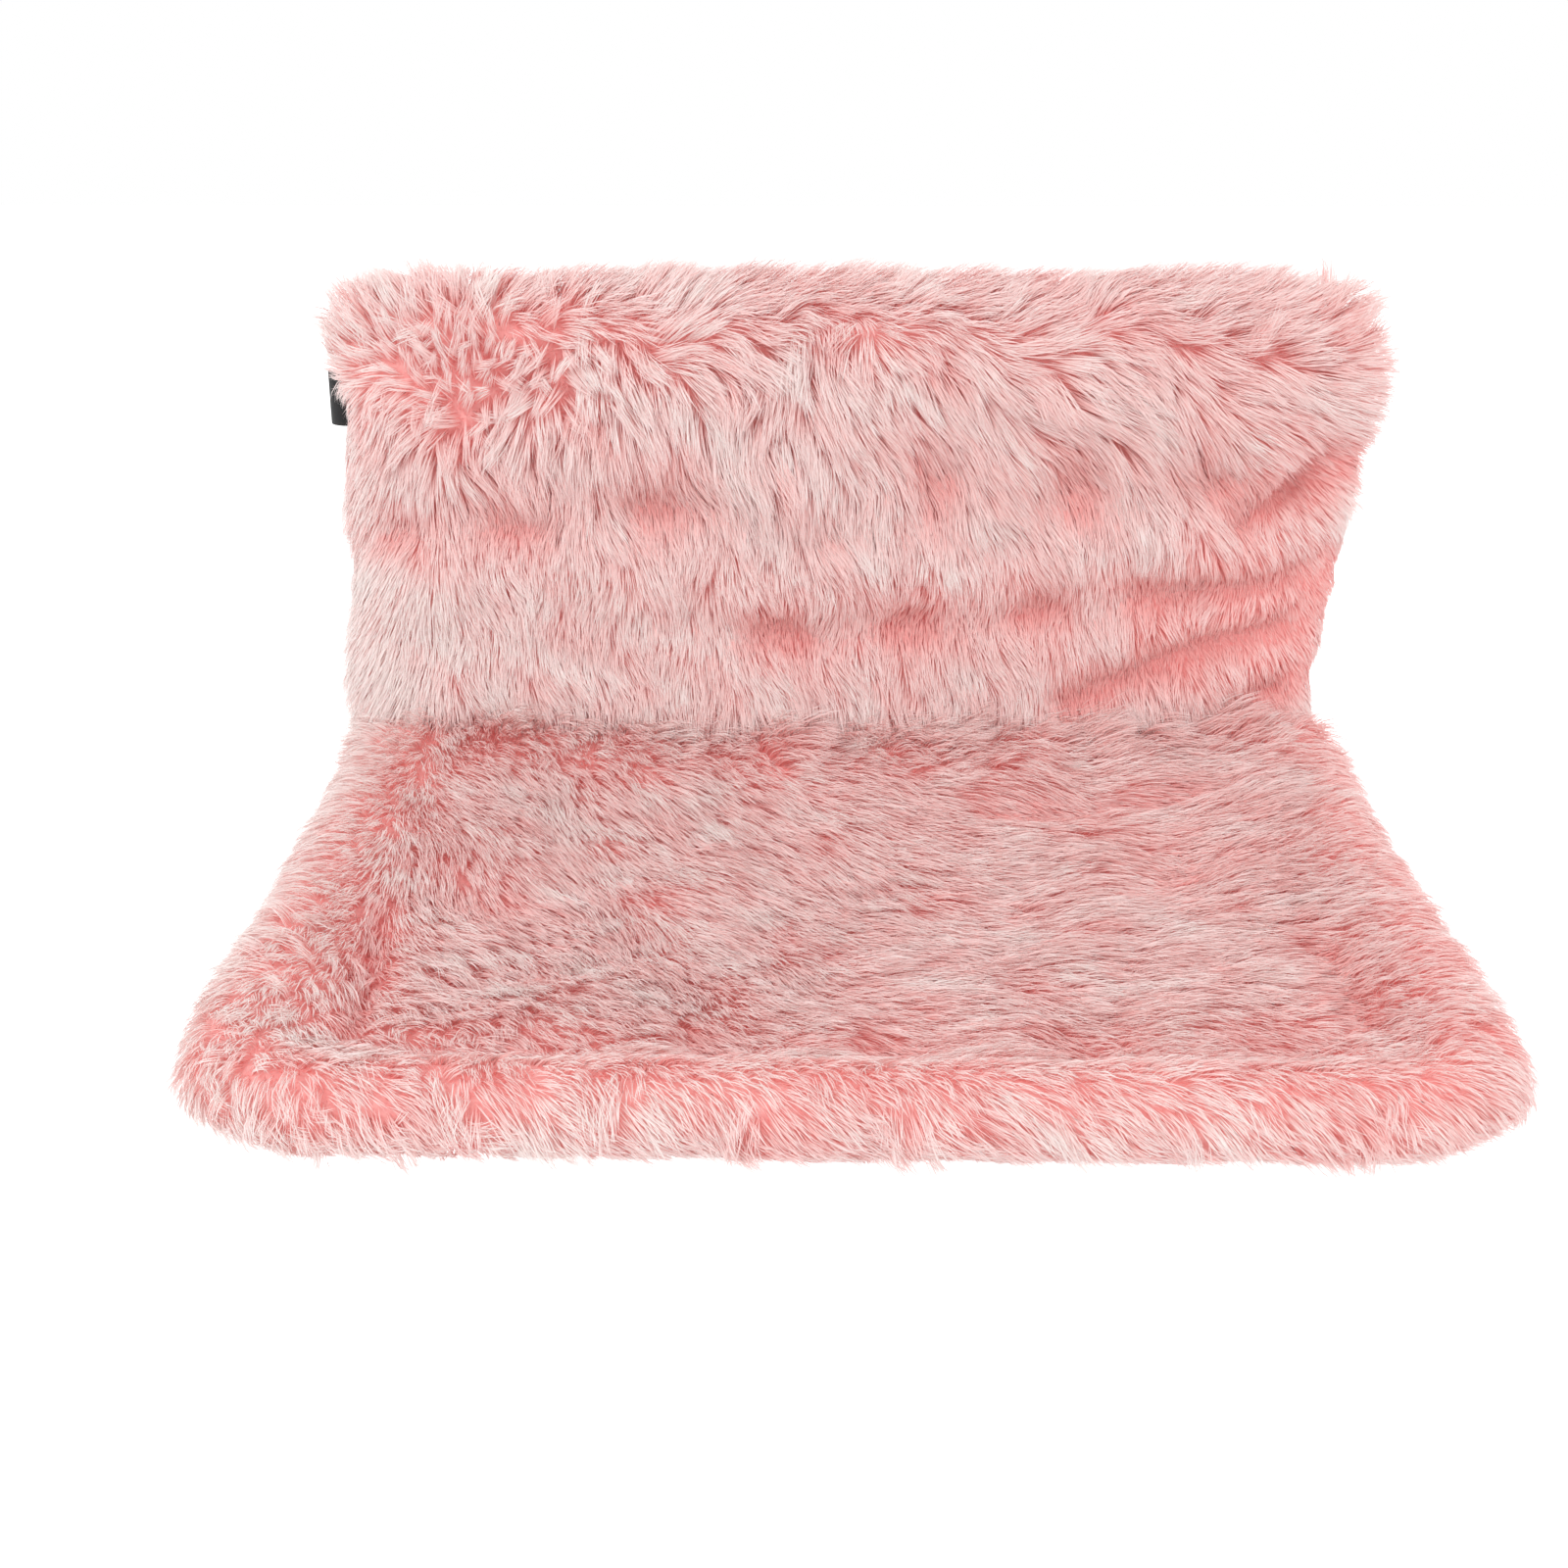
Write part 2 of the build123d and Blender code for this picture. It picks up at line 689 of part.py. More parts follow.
with BuildPart() as side_label:
    with BuildSketch(label_plane):
        Rectangle(label_thickness, label_height)
    extrude(amount=label_reach)
    folded_edges = side_label.faces().sort_by(Axis.X)[0].edges().filter_by(Axis.Z)
    fillet(folded_edges, label_thickness * label_fold_share)
side_label.part.label = "side_label"
export_step(side_label.part, "parts/side_label.step")

# Seat of the cover

seat_line = seat_roll_line()
crossbar_channel = channel_radius + cover_clear
mitre_run = knee_run / knee_bend
gap_along = mitre_half_gap * math.sqrt(1 + mitre_run**2)
wadding_rear = crossbar_along + channel_radius + wadding_margin
wadding_front = seat_depth - roll_radius - wadding_margin
wadding_middle = (wadding_rear + wadding_front) / 2
wadding_depth = wadding_front - wadding_rear
seat_dimple_shares = (
    # to the right along side_x, forward along seat_depth
    (-0.54, 0.86),
    (-0.25, 0.82),
    (0.07, 0.81),
    (0.38, 0.83),
    (0.69, 0.85),
    (-0.62, 0.50),
    (0.60, 0.40),
)


def sag_at(share):
    """Depth of the hollow at a share of the way from the middle of the bed to its side."""
    return edge_sag + (middle_sag - edge_sag) * (1 - share**2)


def seat_top_point(across_share, along_share):
    """Place on the seat's upper face, in shares of its half width and of its depth."""
    line = knee_bend + (seat_front_rise - knee_bend) * along_share
    sag = (sag_at(across_share) + fur_sag) * 4 * along_share * (1 - along_share)
    return seat_point(side_x * across_share, seat_depth * along_share, line - sag)


def seat_section(share):
    """Section of the seat panel: mitred behind, with its top and underside sagging."""
    sag = Vector(0, sag_at(share))
    top_sag = sag + Vector(0, fur_sag)
    low_rear = Vector(gap_along - seat_low * mitre_run, -seat_low)
    low_front = Vector(seat_depth, -seat_low)
    high_front = Vector(seat_depth, seat_front_rise)
    high_rear = Vector(knee_run + gap_along, knee_bend)
    with BuildSketch(seat_section_plane(share * side_x)) as section:
        with BuildLine():
            ThreePointArc(low_rear, (low_rear + low_front) / 2 - sag, low_front)
            Line(low_front, high_front)
            ThreePointArc(high_front, (high_front + high_rear) / 2 - top_sag, high_rear)
            Line(high_rear, low_rear)
        make_face()
    return section.sketch


def seat_layer(share, low, high):
    """Section of a layer that follows the seat's underside between two heights from it."""
    sag = Vector(0, sag_at(share))
    rear = Vector(gap_along - seat_low * mitre_run, -seat_low)
    front = Vector(seat_depth, -seat_low)
    middle = (rear + front) / 2 - sag
    down = Vector(0, low)
    up = Vector(0, high)
    with BuildSketch(seat_section_plane(share * side_x)) as section:
        with BuildLine():
            ThreePointArc(rear + down, middle + down, front + down)
            Line(front + down, front + up)
            ThreePointArc(front + up, middle + up, rear + up)
            Line(rear + up, rear + down)
        make_face()
    return section.sketch


def wadding_outline(margin):
    """Outline of the seat's wadding seen from above, widened by a margin."""
    with BuildSketch(seat_plane) as outline:
        with Locations((0, -wadding_middle)):
            RectangleRounded(
                2 * (wadding_x + margin), wadding_depth + 2 * margin, wadding_corner + margin
            )
    return outline.sketch


with BuildPart() as seat_wadding:
    loft(sections=[seat_layer(share, 0, wadding) for share in section_shares])
    extrude(wadding_outline(0), amount=seat_depth, both=True, mode=Mode.INTERSECT)
seat_wadding.part.label = "seat_wadding"
export_step(seat_wadding.part, "parts/seat_wadding.step")

with BuildPart() as seat_pocket:
    loft(sections=[seat_layer(share, -overrun, wadding + cover_clear) for share in section_shares])
    extrude(wadding_outline(cover_clear), amount=seat_depth, both=True, mode=Mode.INTERSECT)

with BuildPart() as seat_plush:
    loft(sections=[seat_section(share) for share in section_shares])
    sweep(sections=disc_on(seat_line, roll_radius), path=seat_line)
    sweep(sections=disc_on(seat_line, channel_radius), path=seat_line, mode=Mode.SUBTRACT)
    split(bisect_by=rail_side, keep=Keep.TOP)
    with BuildSketch(across(seat_point(0, crossbar_along, 0))):
        Circle(crossbar_channel)
    extrude(amount=side_x, both=True, mode=Mode.SUBTRACT)
    add(seat_pocket.part, mode=Mode.SUBTRACT)
    dimple_rise = upward * (dimple_radius - dimple_depth)
    with Locations(*[seat_top_point(*place) + dimple_rise for place in seat_dimple_shares]):
        Sphere(dimple_radius, mode=Mode.SUBTRACT)
    for name, side in sides:
        bolts = (front_bolt_along, crossbar_along)
        for along in bolts:
            with BuildSketch(across(seat_point(side * side_x, along, 0))):
                Circle(bolt_pocket)
            extrude(amount=side * (tube_radius + head_reach), mode=Mode.SUBTRACT)
        with BuildSketch(across(seat_point(side * side_x, front_bolt_along, 0))):
            Circle(bolt_pocket)
        extrude(amount=-side * (tube_radius + nut_reach), mode=Mode.SUBTRACT)
seat_plush.part.label = "seat_plush"
export_step(seat_plush.part, "parts/seat_plush.step")

with BuildPart() as seat_lining:
    low = -(lining + cover_clear)
    loft(sections=[seat_layer(share, low, -cover_clear) for share in section_shares])
    sweep(sections=disc_on(seat_line, roll_radius + cover_clear), path=seat_line, mode=Mode.SUBTRACT)
    split(bisect_by=rail_side, keep=Keep.TOP)
seat_lining.part.label = "seat_lining"
export_step(seat_lining.part, "parts/seat_lining.step")

# Zip in the back lining

tape_back = lining_back + tape_thickness
teeth_back = tape_back + teeth_thickness
teeth_half = teeth_gap / 2 + teeth_width
slider_inside = teeth_back + slide_clear
slider_back = slider_inside + slider_plate
pin_y = slider_back + eye_radius + eye_clear
slider_x = zip_length / 2 - stop_length - slider_end_gap - slider_length / 2
lug_inside = eye_width / 2 + eye_clear
lug_outside = lug_inside + lug_width
flange_inside = teeth_half + slide_clear
flange_outside = flange_inside + slider_wall
pull_start = 2 * eye_radius


with BuildPart() as zip_tapes:
    with BuildSketch(rail_plane(0, lining_back, zip_z)):
        Rectangle(zip_length + 2 * stop_length, 2 * tape_width)
        Rectangle(zip_length + 2 * stop_length, teeth_gap, mode=Mode.SUBTRACT)
    extrude(amount=tape_thickness)
zip_tapes.part.label = "zip_tapes"
export_step(zip_tapes.part, "parts/zip_tapes.step")

with BuildPart() as zip_teeth:
    with BuildSketch(rail_plane(0, tape_back, zip_z)):
        Rectangle(zip_length - 2 * stop_length, 2 * teeth_half)
        Rectangle(zip_length - 2 * stop_length, teeth_gap, mode=Mode.SUBTRACT)
    extrude(amount=teeth_thickness)
zip_teeth.part.label = "zip_teeth"
export_step(zip_teeth.part, "parts/zip_teeth.step")

with BuildPart() as zip_stops:
    with BuildSketch(rail_plane(0, tape_back, zip_z)):
        for name, side in sides:
            with Locations((side * (zip_length - stop_length) / 2, 0)):
                Rectangle(stop_length, 2 * teeth_half)
    extrude(amount=teeth_thickness)
zip_stops.part.label = "zip_stops"
export_step(zip_stops.part, "parts/zip_stops.step")

with BuildPart() as zip_slider:
    with BuildSketch(rail_plane(0, tape_back + slide_clear, zip_z)):
        with Locations((slider_x, 0)):
            RectangleRounded(slider_length, 2 * flange_outside, slider_wall)
    extrude(amount=slider_back - tape_back - slide_clear)
    with BuildSketch(rail_plane(0, tape_back, zip_z)):
        with Locations((slider_x, 0)):
            Rectangle(slider_length, 2 * flange_inside)
    extrude(amount=slider_inside - tape_back, mode=Mode.SUBTRACT)
    with BuildSketch(rail_plane(0, slider_back, zip_z)):
        with Locations((slider_x, lug_inside + lug_width / 2), (slider_x, -lug_inside - lug_width / 2)):
            Rectangle(2 * eye_radius, lug_width)
    extrude(amount=pin_y - slider_back + 2 * pin_radius)
    with BuildSketch(Plane(origin=(slider_x, pin_y, zip_z))):
        Circle(pin_radius)
    extrude(amount=lug_outside, both=True)
zip_slider.part.label = "zip_slider"
export_step(zip_slider.part, "parts/zip_slider.step")

with BuildPart() as zip_pull:
    with BuildSketch(Plane(origin=(slider_x, pin_y, zip_z))):
        Circle(eye_radius)
    extrude(amount=eye_width / 2, both=True)
    with BuildSketch(rail_plane(0, pin_y, zip_z)):
        with Locations((slider_x - pull_start, 0)):
            Rectangle(2 * pull_start, eye_width)
        with Locations((slider_x - pull_start, 0)):
            RectangleRounded(pull_length, pull_width, pull_corner, align=(Align.MAX, Align.CENTER))
    extrude(amount=pull_thickness / 2, both=True)
    with BuildSketch(Plane(origin=(slider_x, pin_y, zip_z))):
        Circle(pin_radius + eye_clear)
    extrude(amount=eye_width, both=True, mode=Mode.SUBTRACT)
zip_pull.part.label = "zip_pull"
export_step(zip_pull.part, "parts/zip_pull.step")
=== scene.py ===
"""Looks of the hanging bed: long plush over its frame, lining, zip, label and hooks, in metres."""

import json
import math
from collections import namedtuple

import bmesh
import bpy
import numpy as np
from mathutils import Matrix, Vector
from mathutils.kdtree import KDTree


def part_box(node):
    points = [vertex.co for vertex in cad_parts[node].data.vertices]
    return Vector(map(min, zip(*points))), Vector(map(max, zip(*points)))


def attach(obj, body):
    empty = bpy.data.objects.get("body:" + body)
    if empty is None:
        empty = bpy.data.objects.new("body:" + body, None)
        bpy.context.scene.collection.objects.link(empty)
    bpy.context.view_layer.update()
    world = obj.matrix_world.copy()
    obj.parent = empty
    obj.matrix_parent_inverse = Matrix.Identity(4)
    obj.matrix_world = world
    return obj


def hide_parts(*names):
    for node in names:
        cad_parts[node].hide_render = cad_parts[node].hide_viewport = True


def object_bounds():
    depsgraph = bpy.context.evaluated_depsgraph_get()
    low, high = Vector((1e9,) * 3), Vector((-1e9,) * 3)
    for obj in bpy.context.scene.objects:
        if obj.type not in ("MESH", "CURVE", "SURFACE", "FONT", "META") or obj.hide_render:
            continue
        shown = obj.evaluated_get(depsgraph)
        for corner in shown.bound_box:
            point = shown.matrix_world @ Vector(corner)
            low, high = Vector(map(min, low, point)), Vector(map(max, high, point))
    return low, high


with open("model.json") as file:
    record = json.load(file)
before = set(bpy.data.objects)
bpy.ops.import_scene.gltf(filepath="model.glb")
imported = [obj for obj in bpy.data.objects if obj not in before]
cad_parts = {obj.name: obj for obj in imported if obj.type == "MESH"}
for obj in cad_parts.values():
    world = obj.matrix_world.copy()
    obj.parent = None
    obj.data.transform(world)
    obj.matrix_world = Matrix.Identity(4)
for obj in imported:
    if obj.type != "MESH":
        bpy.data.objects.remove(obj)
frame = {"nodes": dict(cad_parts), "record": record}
cad_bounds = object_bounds()

mm = 0.001

# Frame lines, read from the steel tubes

back_low, back_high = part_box("back_tube")
front_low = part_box("front_tube")[0]
crossbar_low, crossbar_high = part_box("knee_crossbar")
tube_radius = (back_high.y - back_low.y) / 2
plane_y = (back_high.y + back_low.y) / 2
side_x = back_high.x - tube_radius
bar_z = back_high.z - tube_radius
front_bar = Vector((0, front_low.y + tube_radius, front_low.z + tube_radius))
crossbar = (crossbar_low + crossbar_high) / 2
forward = (front_bar - Vector((0, crossbar.y, crossbar.z))).normalized()
upward = Vector((0, forward.z, -forward.y))
knee_z = crossbar.z - forward.z / forward.y * (crossbar.y - plane_y)
seat_depth = (plane_y - front_bar.y) / -forward.y
drop = math.atan2(-forward.z, -forward.y)
crossbar_along = (plane_y - crossbar.y) / -forward.y
knee_turn = math.pi / 2 - drop
knee_bend = 30 * mm
knee_run = knee_bend * math.tan(knee_turn / 2)
top_bend = 30 * mm
front_bend = 35 * mm
rail_face = -0.6 * mm  # nothing soft reaches behind this
skin_face = rail_face - 0.6 * mm
hook_low, hook_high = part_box("right_hook_channel")
hook_x = (hook_low.x + hook_high.x) / 2
slot_gap = 0.7 * mm
label_low, label_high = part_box("side_label")
label_z = (label_low.z + label_high.z) / 2


def seat_point(x, along, above):
    """Point of the seat: so far forward of the corner and so far above the tubes' plane."""
    return Vector((x, plane_y, knee_z)) + forward * along + upward * above


def knee_point(x, share):
    """Point of the knee bend: share 0 is its top, 1 its front."""
    angle = -knee_turn * share
    centre = Vector((x, plane_y - knee_bend, knee_z + knee_run))
    return centre + Vector((0, math.cos(angle), math.sin(angle))) * knee_bend


# Numbers and noise


def unit(vectors):
    return vectors / np.maximum(np.linalg.norm(vectors, axis=-1, keepdims=True), 1e-9)


def smooth(value, start, end):
    """0 before start, 1 after end and a smooth rise between them."""
    share = np.clip((value - start) / (end - start), 0, 1)
    return share * share * (3 - 2 * share)


def mix(a, b, share):
    return a + (b - a) * share


def ripple(points, size, seed, waves=9):
    """Smooth noise of about -1 to 1 that changes over about the given size."""
    draw = np.random.default_rng(seed)
    ways = unit(draw.normal(size=(waves, 3))) * draw.uniform(0.6, 1.5, (waves, 1))
    phases = draw.uniform(0, 2 * math.pi, waves)
    return np.sin(points @ ways.T * (2 * math.pi / size) + phases).sum(-1) / math.sqrt(waves)


def spot(x, z, centre_x, centre_z, radius_x, radius_z):
    """Soft round spot, 1 in its middle."""
    return np.exp(-(((x - centre_x) / radius_x) ** 2) - ((z - centre_z) / radius_z) ** 2)


def groove(x, z, points, width):
    """Soft line through points, 1 along its middle."""
    nearest = 0 * x + 1.0
    for (ax, az), (bx, bz) in zip(points, points[1:]):
        run_x, run_z = bx - ax, bz - az
        share = np.clip(((x - ax) * run_x + (z - az) * run_z) / (run_x**2 + run_z**2), 0, 1)
        gap = np.hypot(x - ax - share * run_x, z - az - share * run_z)
        nearest = np.minimum(nearest, gap)
    return np.exp(-((nearest / width) ** 2))


# Meshes


def add_object(name, data):
    piece = bpy.data.objects.new(name, data)
    bpy.context.scene.collection.objects.link(piece)
    return piece


def mesh_object(name, points, faces):
    mesh = bpy.data.meshes.new(name)
    mesh.from_pydata([tuple(p) for p in points], [], [tuple(f) for f in faces])
    mesh.shade_smooth()
    return add_object(name, mesh)


def closed_object(name, parts):
    """A closed piece with all its faces turned outward."""
    piece = mesh_object(name, *parts)
    work = bmesh.new()
    work.from_mesh(piece.data)
    bmesh.ops.recalc_face_normals(work, faces=work.faces)
    work.to_mesh(piece.data)
    work.free()
    return piece


def apply_modifiers(piece):
    graph = bpy.context.evaluated_depsgraph_get()
    mesh = bpy.data.meshes.new_from_object(piece.evaluated_get(graph))
    piece.modifiers.clear()
    piece.data = mesh
    mesh.shade_smooth()
    return piece


def tube_parts(line, radius, sides=16):
    """Points and faces of a closed round tube along a line of points."""
    line = [Vector(p) for p in line]
    points, faces = [], []
    side = (line[1] - line[0]).orthogonal().normalized()
    for place, centre in enumerate(line):
        before = line[max(place - 1, 0)]
        after = line[min(place + 1, len(line) - 1)]
        way = (after - before).normalized()
        side = (side - way * side.dot(way)).normalized()
        other = way.cross(side)
        for step in range(sides):
            turn = 2 * math.pi * step / sides
            points.append(centre + (side * math.cos(turn) + other * math.sin(turn)) * radius)
    for ring in range(len(line) - 1):
        for step in range(sides):
            a = ring * sides + step
            b = ring * sides + (step + 1) % sides
            faces.append((a, b, b + sides, a + sides))
    faces.append(tuple(reversed(range(sides))))
    faces.append(tuple(range(len(points) - sides, len(points))))
    return points, faces


def rounded_line(corners, radius, steps=8):
    """Points of a line whose inner corners are round."""
    corners = [Vector(c) for c in corners]
    line = [corners[0]]
    for before, corner, after in zip(corners, corners[1:], corners[2:]):
        to_before = (before - corner).normalized()
        to_after = (after - corner).normalized()
        half = to_before.angle(to_after) / 2
        run = radius / math.tan(half)
        centre = corner + (to_before + to_after).normalized() * (radius / math.sin(half))
        first = (corner + to_before * run - centre).normalized()
        last = (corner + to_after * run - centre).normalized()
        line += [centre + first.slerp(last, step / steps) * radius for step in range(steps + 1)]
    line.append(corners[-1])
    return line


def grid_faces(columns, rows):
    """Faces between the points of a grid, row by row."""
    wide = columns + 1
    firsts = [row * wide + column for row in range(rows) for column in range(columns)]
    return [(a, a + 1, a + 1 + wide, a + wide) for a in firsts]


def grid_rim(columns, rows):
    """Border points of a grid, one after another."""
    wide = columns + 1
    rim = list(range(wide))
    rim += [row * wide + columns for row in range(1, rows + 1)]
    rim += [rows * wide + column for column in range(columns - 1, -1, -1)]
    rim += [row * wide for row in range(rows - 1, 0, -1)]
    return rim


def slab_parts(front, back, columns, rows):
    """Points and faces of a closed slab between two grids: front and back give a point from two shares."""
    points, faces = [], []
    for grid in (front, back):
        for row in range(rows + 1):
            points += [grid(column / columns, row / rows) for column in range(columns + 1)]
    size = len(points) // 2
    for face in grid_faces(columns, rows):
        faces += [face, tuple(size + index for index in reversed(face))]
    rim = grid_rim(columns, rows)
    for a, b in zip(rim, rim[1:] + rim[:1]):
        faces.append((b, a, a + size, b + size))
    return points, faces


def joined(parts):
    """One set of points and faces from several."""
    points, faces = [], []
    for some_points, some_faces in parts:
        faces += [tuple(index + len(points) for index in face) for face in some_faces]
        points += some_points
    return points, faces


# Materials


class Nodes:
    """A node tree, built step by step."""

    def __init__(self, tree):
        self.tree = tree

    def feed(self, source, target):
        """Links an output to a socket, or sets the socket to a number, a colour or a vector."""
        if isinstance(source, bpy.types.NodeSocket):
            self.tree.links.new(source, target)
        elif isinstance(source, tuple):
            target.default_value = (*source, 1)[:len(target.default_value)]
        else:
            target.default_value = source

    def add(self, kind, inputs, **settings):
        """A new node with its settings, and with its inputs fed."""
        node = self.tree.nodes.new(kind)
        for name, value in settings.items():
            setattr(node, name, value)
        for socket, source in inputs.items():
            self.feed(source, node.inputs[socket])
        return node

    def maths(self, operation, *values):
        return self.add("ShaderNodeMath", dict(enumerate(values)), operation=operation).outputs[0]

    def seen(self):
        """1 for what the camera sees, itself or in a reflection, or else 0."""
        path = self.add("ShaderNodeLightPath", {})
        return self.maths("MAXIMUM", path.outputs["Is Camera Ray"], path.outputs["Is Glossy Ray"])


class Finish(Nodes):
    """A material's nodes round its shader."""

    def __init__(self, name, roughness=0.6, metallic=0.0, **sockets):
        self.material = bpy.data.materials.new(name)
        self.material.use_nodes = True
        super().__init__(self.material.node_tree)
        self.place = self.add("ShaderNodeTexCoord", {}).outputs["Object"]
        self.set("Roughness", roughness)
        self.set("Metallic", metallic)
        for socket, value in sockets.items():
            self.set(socket.replace("_", " "), value)

    def set(self, socket, source):
        self.feed(source, self.tree.nodes["Principled BSDF"].inputs[socket])

    def noise(self, size, detail=3.0, roughness=0.55, place=None):
        inputs = {"Scale": 1 / size, "Detail": detail, "Roughness": roughness}
        return self.add("ShaderNodeTexNoise", {"Vector": place or self.place, **inputs}).outputs["Fac"]

    def stretched(self, *scale):
        """The place with its axes scaled, for grain that runs one way."""
        return self.add("ShaderNodeVectorMath", {0: self.place, 1: scale}, operation="MULTIPLY").outputs[0]

    def parts(self, vector):
        return self.add("ShaderNodeSeparateXYZ", {0: vector}).outputs

    def ramp(self, value, *stops):
        """Colours over a value: stops are (place, colour)."""
        node = self.add("ShaderNodeValToRGB", {"Fac": value})
        elements = node.color_ramp.elements
        while len(elements) < len(stops):
            elements.new(0.5)
        for element, (place, colour) in zip(elements, stops):
            element.position = place
            element.color = (*colour, 1)
        return node.outputs["Color"]

    def blend(self, value, low, high):
        """Colour between two, by a value."""
        return self.add("ShaderNodeMix", {0: value, 6: low, 7: high}, data_type="RGBA").outputs[2]

    def colour(self, output):
        self.set("Base Color", output)

    def rough(self, value, low, high):
        level = self.add("ShaderNodeMapRange", {"Value": value, "To Min": low, "To Max": high})
        self.set("Roughness", level.outputs["Result"])

    def bump(self, height, depth, strength=0.6):
        inputs = {"Height": height, "Distance": depth, "Strength": strength}
        self.set("Normal", self.add("ShaderNodeBump", inputs).outputs["Normal"])


# The deep end of the pile's colours shows painted shade in its folds and hollows, and the cream end shows
# painted highlight at its lit edges, besides the pile's own drift of tone
cream_from = 0.8  # tone past which the pile turns to cream
pile_cream = (1.000, 0.940, 0.915)
pile_tip = (1.000, 0.855, 0.835)
pile_middle = (1.000, 0.725, 0.700)
pile_root = (0.980, 0.515, 0.490)
pile_deep = (0.920, 0.395, 0.380)


def fur_finish():
    """Pile: the strand's own map gives its tone across and its way from root to tip upward."""
    sheen = {"Sheen_Weight": 0.05, "Sheen_Roughness": 0.5, "Sheen_Tint": (1.0, 0.85, 0.82)}
    finish = Finish("pink_pile", 0.7, Specular_IOR_Level=0.12, **sheen)
    strand = finish.add("ShaderNodeUVMap", {}, uv_map="OFBake")
    tone, height, _ = finish.parts(strand.outputs["UV"])
    pale = finish.ramp(height, (0.0, pile_root), (0.35, pile_middle), (0.8, pile_tip))
    deep = finish.ramp(height, (0.0, pile_deep), (0.5, pile_root), (1.0, pile_middle))
    cream = finish.ramp(height, (0.0, pile_middle), (0.35, pile_tip), (0.8, pile_cream))
    pink = finish.blend(finish.maths("MULTIPLY", tone, 1 / cream_from), deep, pale)
    share = finish.maths("MULTIPLY_ADD", tone, 1 / (1 - cream_from), -cream_from / (1 - cream_from))
    finish.colour(finish.blend(share, pink, cream))
    return finish.material


def skin_finish():
    """Knitted backing under the pile."""
    finish = Finish("pink_backing", 0.85)
    tuft = finish.noise(2.5 * mm)
    finish.colour(finish.ramp(tuft, (0.3, pile_deep), (0.7, pile_root)))
    finish.bump(tuft, 1 * mm)
    return finish.material


# Skins of the plush, under the pile

skin_voxel = 4 * mm
back_roll = 12 * mm  # radius of the plush round the back's tube, under its pile
back_front = 8 * mm  # how far the skin stands before the tubes' plane, without its rise
back_rise = 4 * mm
back_foot = 14 * mm  # height of its slab over the corner of the tubes
back_columns, back_rows = 110, 52
skin_back_y = plane_y + 1.4 * mm
skin_wave = 1.2 * mm

back_swells = [
    # middle z, half height and depth, in millimetres
    (-36, 38, 5),
    (-108, 20, 3),
]
back_dimples = [
    # middle x, middle z, half width, half height and depth, in millimetres
    (-29, -136, 19, 12, 9),
    (33, -132, 19, 12, 9),
    (94, -124, 19, 12, 9),
    (148, -117, 19, 11, 9),
    (-159, -82, 24, 13, 7),
    (-88, -70, 20, 14, 7),
    (-208, -86, 18, 10, 6),
    (43, -58, 16, 20, 6),
    (107, -64, 17, 20, 7),
    (170, -60, 16, 15, 7),
]
back_creases = [
    # points (x, z) along it, half width and depth, in millimetres
    ([(230, -50), (206, -66), (188, -78)], 9, 12),
    ([(236, -104), (205, -111), (152, -117)], 10, 10),
    ([(236, -122), (205, -136), (152, -152)], 10, 11),
    ([(152, -152), (111, -172)], 10, 8),
    ([(232, -155), (196, -172)], 9, 8),
    ([(-29, -136), (33, -132), (94, -124), (148, -117)], 12, 2.5),
]
seat_dimples = [
    # x, forward of the corner, half width, half length and depth, in millimetres
    (-120, 262, 20, 14, 5),
    (-55, 250, 16, 16, 5),
    (15, 246, 16, 18, 5),
    (85, 252, 18, 16, 5),
    (160, 258, 20, 16, 5),
    (-150, 150, 30, 18, 4),
    (150, 120, 30, 20, 4),
]
seat_creases = [
    ([(-196, 175), (-192, 225), (-190, 262)], 6, 6),
    ([(-190, 262), (-120, 272)], 7, 4),
    ([(60, 66), (130, 70), (175, 62)], 7, 5),
    ([(190, 190), (194, 250)], 7, 5),
]


def hollow(across, along, dimples, creases):
    """How far dimples and folds press a pad in."""
    deepest = 0 * across
    for *middle_and_half, depth in np.array(dimples) * mm:
        deepest = np.maximum(deepest, depth * spot(across, along, *middle_and_half))
    for points, half, depth in creases:
        crease = groove(across, along, np.array(points) * mm, half * mm)
        deepest = np.maximum(deepest, depth * mm * crease)
    return deepest


def back_hollow(x, z):
    return hollow(x, z, back_dimples, back_creases)


def seat_hollow(x, along):
    return hollow(x, along, seat_dimples, seat_creases)


def back_depth(x, z):
    """How far the skin's front stands before the tubes' plane."""
    swell = 0
    for middle_z, half_z, depth in np.array(back_swells) * mm:
        swell = swell + depth * spot(0, z, 0, middle_z, 1, half_z)
    edge = 1 - smooth(np.abs(x), side_x - 34 * mm, side_x - 4 * mm)
    rise = back_rise + (swell + back_rise) * mix(0.35, 1, edge)
    wave = skin_wave * ripple(np.stack([x, 0 * x, z], -1), 70 * mm, 11)
    return back_front + rise + wave - back_hollow(x, z)


def remeshed(name, parts, voxel):
    """One closed skin round several closed bodies."""
    piece = mesh_object(name, *joined(parts))
    remesh = piece.modifiers.new("remesh", "REMESH")
    remesh.mode = "VOXEL"
    remesh.voxel_size = voxel
    relax = piece.modifiers.new("relax", "SMOOTH")
    relax.factor = 0.5
    relax.iterations = 3
    return apply_modifiers(piece)


# How far each side of the back stands out at some heights, all in millimetres
left_heights, left_swell = [-160, -114, -65, -28, 0], [4, -4, -2, -2, 4]
right_heights, right_swell = [-160, -114, -65, -20], [-5, 2, 5, 9]


